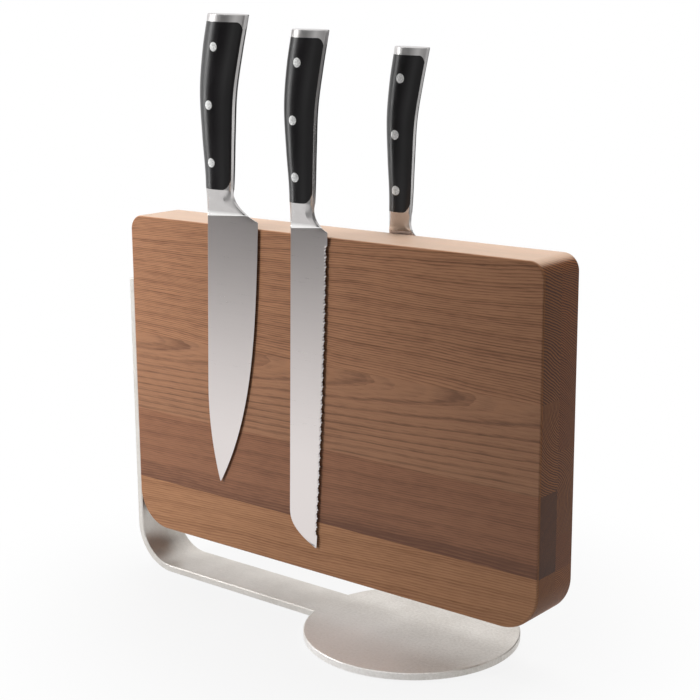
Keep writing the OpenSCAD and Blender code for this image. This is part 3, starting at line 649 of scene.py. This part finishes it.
FOOT_PROUD, BEVEL_W, BEVEL_T, EDGE_T = 0.15, 2.0, 0.7, 0.1
SPINE_ROUND = 0.4
SPINE_SHAPE = ((1, 1), (0.3, 0.88), (0, 0.6))  # shares of the round's depth and of the thickness
FACE_SHARES = (0.33, 0.66)     # support rows on the ground face
BEVEL_BITE = 0.5               # mm that the bevel's upper line follows a full tooth
INSIDE_THIN = 0.85             # the end inside the bolster, as a share of the wedge
POINT_THINNING = 0.35          # share of the blade's thickness that is ground away by the point
TILT_L = 20.0
HEEL_STEP = 0.03               # height over which the sharp edge turns into the bolster's foot
INSIDE_U, INSIDE_W = 1.2, 1.5  # how far the blade's end is drawn in and runs up inside the bolster
SWEEP_POWER, BOLSTER_POWER = 2.8, 0.85
HOLLOW_POWER = (1.8, 0.594)    # curve from crease to belly, at the foot and at the top of the bolster
HOLLOW_W = 0.13                # widest part of the hollow, as a share of the blade's height past the neck
FOOT_BELLY_T = 0.9             # half thickness at the belly of the foot, in blade thicknesses
# degrees round the section
FLAT_A, CREASE_A, FRONT_A, FOOT_FACE_A, BACK_A = 7.5, 37.5, 60, 80, 150
FLAT_COS = cos(radians(FLAT_A))
CREASE_X = cos(radians(CREASE_A)) / FLAT_COS

# the grip along its length: place, back in arches, belly in flares, thickness
GRIP_ROWS = np.array([[0.00, 0.05, -0.16, 0.80], [0.20, -0.07, -0.04, 0.84], [0.40, -0.60, 0.00, 0.94],
                      [0.62, -1.00, 0.11, 1.00], [0.82, -0.57, 0.53, 1.00], [1.00, 0.30, 1.00, 0.96]])


def grip_row(t):
    """Smooth curve through the rows: cubics whose slope at a row is that between its two neighbours."""
    last = len(GRIP_ROWS) - 1
    row = np.arange(last + 1)
    low, high = GRIP_ROWS[np.maximum(row - 1, 0)], GRIP_ROWS[np.minimum(row + 1, last)]
    slope = (high - low) / (high[:, :1] - low[:, :1])
    i = np.clip(np.searchsorted(GRIP_ROWS[:, 0], t, side="right") - 1, 0, last - 1)
    a, b = GRIP_ROWS[i], GRIP_ROWS[i + 1]
    h = (b - a)[..., :1]
    s = np.clip((np.asarray(t)[..., None] - a[..., :1]) / h, 0, 1)
    r = 1 - s
    return (a * (1 + 2 * s) * r * r + b * s * s * (3 - 2 * s)
            + slope[i] * h * s * r * r - slope[i + 1] * h * s * s * r)


def neck_u(k, w):
    """The belly of the grip, without the sweep."""
    return k.neck_w + k.flare * grip_row(w / k.grip_l)[..., 2]


def back_u(k, w):
    """The back of the grip."""
    return k.arch * grip_row(w / k.grip_l)[..., 1]


def foot_width(k):
    """Width of the neck at the bolster's foot."""
    return float(neck_u(k, np.array(0.0)))


def sweep(k, w):
    """The belly turning out into the heel: a power of the height left below the sweep's top."""
    return np.maximum(1 - (w + k.heel_drop) / k.sweep_l, 0) ** SWEEP_POWER * (k.blade_h - foot_width(k))


def belly_u(k, w):
    """The belly with the sweep into the heel."""
    return neck_u(k, w) + sweep(k, w)


def wedge(k, u):
    """Half thickness of the blade beside the bolster."""
    return (BLADE_T + (BEVEL_T - BLADE_T) * np.clip(u / (k.blade_h - BEVEL_W), 0, 1)) / 2


def tilt(k, w):
    """How much higher a section lies at the belly than at the spine."""
    return k.foot_rise * np.maximum(np.where(w > 0, 1 - w / k.bolster_l, 1 + w / TILT_L), 0)


def between(a, b, t):
    """The place at share t of the way from a to b."""
    return a + (b - a) * t


def grip_point(k, a, w, shrink=0.0):
    """Point (u, y, w) of the grip's skin at angle a in degrees round the section, 0 at the belly and 180 at
    the back, and at height w. The section is an oval cut flat at belly and back. Down the bolster it thins
    to the blade's wedge, and past the crease a hollow runs out to the belly."""
    a, w = np.broadcast_arrays(np.asarray(a, float), np.asarray(w, float))
    s = np.clip(w / k.bolster_l, 0, 1)
    t = k.grip_t / 2 * grip_row(np.maximum(w, k.bolster_l) / k.grip_l)[..., 3] - shrink
    u0 = back_u(k, w) + shrink
    u1 = belly_u(k, w + tilt(k, w)) - shrink
    neck = np.where(s < 1, neck_u(k, w) - shrink, u1)
    middle, half = (u0 + neck) / 2, (neck - u0) / 2
    ca = np.cos(np.radians(a))
    margin = half * (1 - CREASE_X) + HOLLOW_W * (k.blade_h - k.neck_w) * np.sin(pi * s)
    crease_u = u1 - margin
    face_a = between(FOOT_FACE_A, CREASE_A, s)
    crease_t = t * np.sin(np.radians(face_a)) / FLAT_COS
    belly_t = between(FOOT_BELLY_T * BLADE_T, t * sin(radians(FLAT_A)) / FLAT_COS, s)
    x = np.clip((ca / FLAT_COS - CREASE_X) / (1 - CREASE_X), 0, 1)
    b = np.radians(between(face_a, QUARTER, np.clip((a - CREASE_A) / (QUARTER - CREASE_A), 0, 1)))
    in_hollow, in_front = a < CREASE_A, a < QUARTER
    u = np.where(in_hollow, crease_u + margin * x,
                 np.where(in_front, middle + (crease_u - middle) * np.cos(b) / np.cos(np.radians(face_a)),
                          middle + half * ca / FLAT_COS))
    y = np.where(in_hollow, between(belly_t, crease_t, (1 - x) ** between(*HOLLOW_POWER, s)),
                 np.where(in_front, t * np.sin(b) / FLAT_COS, t * np.sin(np.radians(a)) / FLAT_COS))
    y = between(wedge(k, u) + FOOT_PROUD, y, s ** BOLSTER_POWER)
    rise = tilt(k, w) * (u - u0) / (u1 - u0)
    return u, y, w + rise


def scale_ends(k, a, gap):
    """Heights of the scale's lower and upper end at angle a: straight across, and rounded beside the belly
    by most of a quarter of an ellipse, whose width and height are given."""
    ends = []
    for w0, (wide, tall), way in ((k.bolster_l + gap, SCALE_FOOT_CORNER, 1),
                                  (k.grip_l - CAP_L - gap, SCALE_CAP_CORNER, -1)):
        w = np.full(np.shape(a), w0, float)
        for _ in range(8):         # each round brings the corner nearer to the belly at its own height
            u, _, _ = grip_point(k, a, w)
            into = np.clip(1 - (belly_u(k, w) - gap - u) / wide, 0, 1)
            w = w0 + way * tall * np.minimum(1 - np.sqrt(1 - into * into), 1 - cos(radians(CORNER_TURN)))
        ends.append(w)
    return ends


def spread(stops, counts):
    """Numbers that run evenly from stop to stop, with a count for each run."""
    runs = [np.linspace(a, b, n) for a, b, n in zip(stops, stops[1:], counts)]
    return np.concatenate([runs[0]] + [run[1:] for run in runs[1:]])


FACE_A = spread((FLAT_A, CREASE_A, BACK_A, 180 - FLAT_A), (27, 52, 16))    # columns of the forging


def closed_rings(u, y, w):
    """Rings (rows, half section) of one side turned into closed rings: that side, the flat at the back, the
    mirror image, and the flat at the belly. A flat's three points are its corners again and its middle."""
    rings = []
    for part, way, flat in ((u, 1, (1, 1, 1)), (y, -1, (1, 0, -1)), (w, 1, (1, 1, 1))):
        back, belly = flat * part[:, -1:], flat * part[:, :1]
        rings.append(np.concatenate([part, back, way * part[:, ::-1], way * belly], 1))
    return np.stack(rings, -1)


def handle_steel(k):
    """Bolster, tang and end cap as one skin: rows run up the bolster to the scales' lower end, drop to the
    tang, run up the tang to the scales' upper end, step out again and run over the rounded cap. The first
    and last rows lie inside and close it."""
    a = FACE_A[None]
    low, high = scale_ends(k, FACE_A, 0.0)
    foot, top = 0 * low, np.full_like(high, k.grip_l - CAP_ROUND)
    rows = []

    def add(share, start, end, shrink=0.0, most=None, y_scale=1.0):
        """One row of the skin, a share of the way from start to end, no thicker than most."""
        u, y, w = grip_point(k, a, between(start, end, share)[None], shrink)
        y = y * y_scale
        rows.append((u, y if most is None else np.minimum(y, most), w))

    add(0, foot, low, y_scale=0.5)
    for share in np.linspace(0, 1, BOLSTER_ROWS) ** FOOT_CROWDING:
        add(share, foot, low)
    for share in np.linspace(0, 1, TANG_ROWS):
        add(share, low, high, most=TANG_T / 2)
    for share in np.linspace(0, 1, CAP_ROWS):
        add(share, high, top)
    for turn in np.radians(np.linspace(0, QUARTER, ROUND_ROWS))[1:]:
        add(0, top + CAP_ROUND * sin(turn), top, shrink=CAP_ROUND * (1 - cos(turn)))
    add(0, top + CAP_ROUND, top, shrink=CAP_ROUND + CAP_RIM)
    u, y, w = [np.concatenate(part, 0) for part in zip(*rows)]
    rings = closed_rings(u, y, w)
    return rings.reshape(-1, 3), ring_faces(rings.shape[0], rings.shape[1])


def scale_shell(k, side):
    """One scale: a grid of angle and height on the grip's skin, from the tang's edge at the belly to that
    at the back, its rim broken by a small round, with a flat underside on the tang and walls between."""
    t = k.grip_t / 2 * grip_row(np.array(0.5))[3]
    floor = TANG_T / 2 + SCALE_GAP
    r = SCALE_ROUND
    edge = np.array(RIM_SHARES) * r
    share = np.linspace(0, 1, SCALE_ROWS)
    belly_t = sin(radians(FLAT_A)) / FLAT_COS
    crease_t = sin(radians(CREASE_A)) / FLAT_COS
    lie = np.clip((floor / t - belly_t) / (crease_t - belly_t), 0, 1) ** (1 / HOLLOW_POWER[1])
    a0 = np.degrees(acos((1 - lie * (1 - CREASE_X)) * FLAT_COS))
    a1 = 180 - np.degrees(np.arcsin(max(floor * FLAT_COS / t, sin(radians(FLAT_A)))))
    a = spread((a0, FRONT_A, BACK_A, a1), SCALE_COLS)
    low, high = scale_ends(k, a, SCALE_GAP)
    places = np.concatenate([low + edge[:, None], between(low + 2 * r, high - 2 * r, share[:, None]),
                             high - edge[::-1, None]])
    u, y, w = grip_point(k, a[None], places)
    gone = np.minimum(places - low, high - places)
    y = y - np.where(gone < r, r - np.sqrt(np.maximum(r * r - (r - gone) ** 2, 0)), 0)
    y = np.maximum(y, floor)
    top = np.stack([u, side * y, w], -1)
    under = np.stack([u, np.full_like(u, side * floor), w], -1)
    n_rows, n_cols = u.shape
    n = n_rows * n_cols
    faces = grid_faces(n_rows, n_cols) + [f[::-1] for f in grid_faces(n_rows, n_cols, n)]
    rim = np.concatenate([np.arange(n_cols), np.arange(1, n_rows) * n_cols + n_cols - 1,
                          np.arange(n - 2, n - n_cols - 1, -1), np.arange(n_rows - 2, 0, -1) * n_cols])
    after = np.roll(rim, -1)
    faces += np.stack([after, rim, rim + n, after + n], 1).tolist()
    return np.concatenate([top.reshape(-1, 3), under.reshape(-1, 3)]), faces


HEAD_RINGS = np.array([[RIVET_R, -0.8], [RIVET_R, -0.08], [RIVET_R - 0.06, 0], [RIVET_R - 0.2, 0.03],
                       [2.4, 0.03], [1.6, 0.03], [0.8, 0.03], [0.1, 0.03]])   # radius, rise over the grip


def rivet_shells(k):
    """Six rivet heads that follow the grip's oval: rings from the wall's foot up over a small round to the
    middle."""
    shells = []
    turn = np.linspace(0, 2 * pi, RIVET_STEPS + 1)[:-1]
    radius, rise = HEAD_RINGS[:, :1], HEAD_RINGS[:, 1:]
    for i in range(RIVET_PAIRS):
        w0 = k.grip_l * (1 - k.rivet_inset - i * k.rivet_pitch)
        u0 = (back_u(k, np.array(w0)) + belly_u(k, np.array(w0))) / 2
        u, w = u0 + radius * np.cos(turn), w0 + radius * np.sin(turn)
        back, belly = back_u(k, w), belly_u(k, w)
        middle, half = (back + belly) / 2, (belly - back) / 2
        t = k.grip_t / 2 * grip_row(w / k.grip_l)[..., 3]
        y = t / FLAT_COS * np.sqrt(1 - ((u - middle) * FLAT_COS / half) ** 2) + rise
        for side in (1, -1):
            shells.append((np.stack([u, side * y, w], -1).reshape(-1, 3), ring_faces(*y.shape)))
    return shells


def spine_u(k, w):
    """The spine: straight, and near the point a power of the way down to it."""
    return k.point_u * np.maximum((-w - k.blade_l + k.drop_l) / k.drop_l, 0) ** k.drop_power


def edge_u(k, w):
    """The edge: a straight share and a power of the way to the point, kept inside the bolster's sweep."""
    s = np.maximum(-w - k.heel_drop, 0) / (k.blade_l - k.heel_drop)
    curve = k.edge_slope * s + (1 - k.edge_slope) * s ** k.edge_power
    return np.minimum(k.blade_h - (k.blade_h - k.point_u - EDGE_T) * curve, foot_width(k) + sweep(k, w))


def tooth_depth(count, teeth):
    """Shape of the teeth, 0 to 1, at a count of teeth from the heel: one wide arc and small arcs added
    up."""
    arcs = ((1 - SMALL_SHARE) * np.abs(np.sin(pi * count))
            + SMALL_SHARE * np.abs(np.sin(SMALL_TEETH * pi * count)))
    return np.where((count > 0) & (count < teeth), arcs, 0)


def blade_shell(k):
    """Sections from the point up into the bolster: rounded spine, flat ground face, bevel and edge. Teeth
    are arcs taken out of the edge, with the bevel following them."""
    heel = -(k.heel_drop + k.foot_rise) / (1 + k.foot_rise / TILT_L)
    point = -k.blade_l
    w = np.concatenate([point + k.drop_l * np.linspace(0, 1, BLADE_ROWS) ** POINT_CROWDING,
                        np.linspace(point + k.drop_l, heel, BLADE_ROWS)[1:], [heel + HEEL_STEP],
                        np.linspace(heel, 0, HEEL_ROWS)[1:], [INSIDE_W]])
    if k.toothed:
        first = k.heel_drop + TOOTH_START
        teeth = int((k.blade_l - first - TOOTH_END) // TOOTH_PITCH)
        along = np.arange(teeth * TOOTH_STEPS + 1) * TOOTH_PITCH / TOOTH_STEPS
        w = np.unique(np.concatenate([w, -first - along]))
        bite = tooth_depth((-w - first) / TOOTH_PITCH, teeth)
    else:
        bite = np.zeros_like(w)
    rise = tilt(k, w)
    inset = np.where(w > 0, INSIDE_U, 0.0)
    u0 = spine_u(k, w) + inset
    u1 = np.maximum(edge_u(k, w + rise) - inset, u0 + EDGE_T)
    tip = u1 - TOOTH_DEPTH * bite
    t = BLADE_T / 2 * (1 - POINT_THINNING * np.maximum(-w, 0) / k.blade_l)
    sharp = w <= heel + HEEL_STEP / 3
    bevel = np.minimum(BEVEL_W, (u1 - u0) / 3)
    soft = np.minimum(SPINE_ROUND, (u1 - u0) / 4)
    tb = np.where(sharp, np.minimum(BEVEL_T / 2, t), wedge(k, u1 - bevel))
    te = np.where(sharp, EDGE_T / 2, INSIDE_THIN * wedge(k, u1))
    foot = u1 - bevel - BEVEL_BITE * bite
    side_u = ([tip, foot] + [between(foot, u0 + soft, s) for s in FACE_SHARES]
              + [u0 + deep * soft for deep, _ in SPINE_SHAPE])
    side_y = ([te, tb] + [between(tb, t, s) for s in FACE_SHARES]
              + [thick * t for _, thick in SPINE_SHAPE])
    u, y = np.stack(side_u, 1), np.stack(side_y, 1)
    u, y = np.concatenate([u, u[:, ::-1]], 1), np.concatenate([y, -y[:, ::-1]], 1)
    z = w[:, None] + rise[:, None] * (u - u0[:, None]) / (u1 - u0)[:, None]
    return np.stack([u, y, z], -1).reshape(-1, 3), ring_faces(*u.shape)


def stand_up(k, node, shells):
    """Leans the knife in its plane and sets it where its CAD forging is: same middle in y, same left and
    top."""
    low, high = corner_mm(node)
    c, s = cos(radians(k.lean)), sin(radians(k.lean))
    lean = np.array([[c, 0, s], [0, 1, 0], [-s, 0, c]])
    steel = np.concatenate([points for points, _ in shells["steel"]]) @ lean.T
    offset = np.array([low[0] - steel[:, 0].min(), (low[1] + high[1]) / 2, high[2] - steel[:, 2].max()])
    return {part: [(points @ lean.T + offset, faces) for points, faces in group]
            for part, group in shells.items()}


def make_knife(k, body, metals):
    """Blade, forged handle, two scales and the rivet heads, set up where the CAD knife stands."""
    parts = {"steel": [handle_steel(k), blade_shell(k)], "front": [scale_shell(k, -1)],
             "back": [scale_shell(k, 1)], "rivets": rivet_shells(k)}
    parts = stand_up(k, body + "_forging", parts)
    handle, blade = parts["steel"]
    steel, black, rivet = metals
    polish = polished_steel("polished_steel_" + body, handle[0][:, 2].min())
    for part, shells, material, node, slot, sharp in (
            ("_blade", [blade], steel, "_forging", "blade_steel", 5),
            ("_bolster_tang_and_cap", [handle], polish, "_forging", "blade_steel", 24),
            ("_front_grip_scale", parts["front"], black, "_front_scale", "scale_plastic", 40),
            ("_back_grip_scale", parts["back"], black, "_back_scale", "scale_plastic", 40),
            ("_rivet_heads", parts["rivets"], rivet, "_rivets", "rivet_steel", 40)):
        piece(body + part, shells, material, body, [body + node], sharp)


# -------- studio

WHITE = (1, 1, 1, 1)
AMBIENT = 0.08                 # strength of the light from the white surroundings
FLOOR_RINGS = np.array([0.001, 2, 6])          # metres
FLOOR_DROP = 0.0002            # metres that the floor lies under the feet
FLOOR_STEPS = 64
SHADOW_REACH = (100, 330)      # mm from the middle over which the floor turns into the background
UNLIT_FLOOR = (250, 700)       # x in mm over which polished steel sees the floor darken
WALL_R, WALL_H, WALL_STEPS = 1.35, 1.3, 80     # metres
WALL_FROM, WALL_TO = -158, 108                 # degrees round from +X
CAMERA_PLACE = np.array([657.99, -790.64, 426.26])
CAMERA_TURN, CAMERA_DOWN, CAMERA_ROLL = radians(39.11), radians(12.76), radians(-0.37)
LENS, FRAME_W = 78.26, 36.0


def grey(level):
    """A neutral colour in linear light."""
    return (level, level, level, 1)


def soft_box(name, place, aim, width, height, power):
    """A rectangular lamp that looks at a point, in metres and watts. It lights, but nothing shows or
    mirrors it."""
    lamp = bpy.data.lights.new(name, "AREA")
    lamp.shape, lamp.size, lamp.size_y, lamp.energy = "RECTANGLE", width, height, power
    obj = bpy.data.objects.new(name, lamp)
    bpy.context.scene.collection.objects.link(obj)
    obj.location = place
    obj.rotation_euler = (Vector(aim) - Vector(place)).to_track_quat("-Z", "Y").to_euler()
    obj.visible_glossy = obj.visible_camera = False


def studio_piece(name, points, faces, paint, seen=True):
    """A piece of the studio, with its points in metres."""
    mesh = bpy.data.meshes.new(name)
    mesh.from_pydata(points.reshape(-1, 3).tolist(), [], faces)
    mesh.materials.append(paint.owner)
    obj = bpy.data.objects.new(name, mesh)
    bpy.context.scene.collection.objects.link(obj)
    obj.visible_camera = seen


def make_surroundings():
    """White where the background shows, and a weak white light from all round."""
    world = bpy.data.worlds.new("studio")
    bpy.context.scene.world = world
    p = Paint("studio", world)
    dim = p.node("Background", None, {"Color": WHITE, "Strength": AMBIENT})
    white = p.node("Background", None, {"Color": WHITE, "Strength": 1.0})
    p.end(p.node("MixShader", None, {0: p.sees_background(), 1: dim, 2: white}), "OutputWorld")


def make_floor():
    """A pale disc of flat rings. Near the object it keeps the shadow, and farther out it turns into the
    white background. Polished steel sees it darken to the right."""
    p = Paint("studio_floor")
    x, y, z = p.place()
    away = (x * x + y * y) ** 0.5
    mottle = p.noise(x * 0.02, y * 0.02, z, 3.0)
    cloth = p.node("BsdfDiffuse", None, {"Color": p.mix(mottle, grey(0.50), grey(0.52))})
    unlit = p.ease(x, *UNLIT_FLOOR) * p.ray("Glossy")
    glow = p.node("Emission", None, {"Color": p.mix(unlit, WHITE, grey(0.3)), "Strength": 1.0})
    blend = p.sees_background() * p.ease(away, *SHADOW_REACH, 0.86, 1.0)
    p.end(p.node("MixShader", None, {0: blend, 1: cloth, 2: glow}))
    r, a = FLOOR_RINGS[:, None], np.linspace(0, 2 * pi, FLOOR_STEPS + 1)[:-1]
    points = np.stack(np.broadcast_arrays(r * np.cos(a), r * np.sin(a), -FLOOR_DROP), -1)
    faces = ring_faces(len(FLOOR_RINGS), FLOOR_STEPS)[:-2] + [list(range(FLOOR_STEPS))]
    studio_piece("studio_floor", points, faces, p)


def make_dark_wall():
    """The unlit side of the studio: a dark curved wall round the front, part of a cylinder. It takes light
    away, and to gloss alone it glows, a painted reflection for polished steel: white at its left end, dark
    towards the front but lighter high up, and grey on the right with a bright slit before its dark right
    end. Its tone depends on the turn round the middle, in degrees."""
    p = Paint("studio_dark_wall")
    x, y, z = p.place()
    cloth = p.noise(x * 0.01, y * 0.01, z * 0.01, 2.0)
    black = p.node("BsdfDiffuse", None, {"Color": p.mix(cloth, grey(0.03), grey(0.045))})
    turn = p.maths("ARCTAN2", y, x) * (180 / pi)
    left = p.ease(turn, -140, WALL_FROM)
    upper = p.ease(z, 350, 700) * p.hump(turn, -150, -110, -40, 0)
    right = p.hump(turn, -118, -60, 56, 72)
    slit = p.hump(turn, 20, 32, 48, 60)
    tone = left + left ** 3 * 9 + upper * 0.55 + right * 0.38 + slit * 0.8 + cloth * 0.06
    sheen = p.node("Emission", None, {"Color": p.join(tone, tone, tone), "Strength": 1.0})
    p.end(p.node("MixShader", None, {0: p.ray("Glossy"), 1: black, 2: sheen}))
    a = np.radians(np.linspace(WALL_FROM, WALL_TO, WALL_STEPS + 1))
    height = np.array([[0.0], [WALL_H]])
    points = np.stack(np.broadcast_arrays(WALL_R * np.cos(a), WALL_R * np.sin(a), height), -1)
    studio_piece("studio_dark_wall", points, grid_faces(2, WALL_STEPS + 1), p, seen=False)


def make_studio():
    """White surroundings, a pale floor, three soft boxes and a dark wall."""
    make_surroundings()
    make_floor()
    soft_box("softbox_above", (-0.1, 0.3, 1.4), (0, 0, 0.2), 1.3, 0.9, 18.5)
    soft_box("softbox_left", (-0.36, -0.40, 0.33), (-0.1, 0, 0.2), 0.14, 0.25, 2.45)
    soft_box("softbox_right", (0.9, 0.5, 0.6), (0.15, 0, 0.15), 0.5, 0.5, 3.3)
    make_dark_wall()


def make_camera():
    """Looks from the right front, a little from above; lens and frame in mm."""
    turn, down, roll = CAMERA_TURN, CAMERA_DOWN, CAMERA_ROLL
    ahead = np.array([-sin(turn) * cos(down), cos(turn) * cos(down), -sin(down)])
    right = np.array([cos(turn), sin(turn), 0])
    up = np.cross(right, ahead)
    camera = bpy.data.cameras.new("camera")
    camera.lens, camera.sensor_width = LENS, FRAME_W
    obj = bpy.data.objects.new("camera", camera)
    bpy.context.scene.collection.objects.link(obj)
    matrix = np.eye(4)
    matrix[:3, 0] = cos(roll) * right + sin(roll) * up
    matrix[:3, 1] = -sin(roll) * right + cos(roll) * up
    matrix[:3, 2] = -ahead
    matrix[:3, 3] = CAMERA_PLACE * MM
    obj.matrix_world = Matrix(matrix.tolist())
    bpy.context.scene.camera = obj


# -------- putting it together

def finish_hidden_pieces():
    """Gives the CAD nodes that are kept as they are their materials."""
    magnet = plain_metal("nickel_plated_magnet", (150, 148, 140), (190, 187, 178), 0.25)
    bar_steel = plain_metal("rolled_steel_bar", (96, 98, 102), (132, 134, 138), 0.4)
    filler = beech("beech_filler", (178, 132, 97), (132, 88, 61), (60, 0), (0, 0.03, 0), 2.0, 17.7)
    finishes = {
        "front_magnets": magnet, "back_magnets": magnet,
        "front_backing_bars": bar_steel, "back_backing_bars": bar_steel,
        "front_filler_strips": filler, "back_filler_strips": filler,
        "leg_screws": plain_metal("screw_steel", (170, 170, 172), (206, 206, 207), 0.25),
        "threaded_inserts": plain_metal("insert_brass", (168, 132, 70), (204, 172, 104), 0.3),
        "rubber_pads": pad_rubber("pad_rubber"),
    }
    for node, material in finishes.items():
        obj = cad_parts[node]
        if not obj.data.materials:
            obj.data.materials.append(material)
        for slot in obj.material_slots:
            slot.material = material


make_block()
make_stand()
metals = (ground_blade("ground_blade_steel"), black_scale("satin_black_scale"),
          ground_rivet("ground_rivet_heads"))
for knife, body in ((CHEF, "chef_knife"), (BREAD, "bread_knife"), (SLICER, "slicing_knife")):
    make_knife(knife, body, metals)
finish_hidden_pieces()
make_studio()
make_camera()
bpy.context.scene.view_settings.view_transform = "Standard"
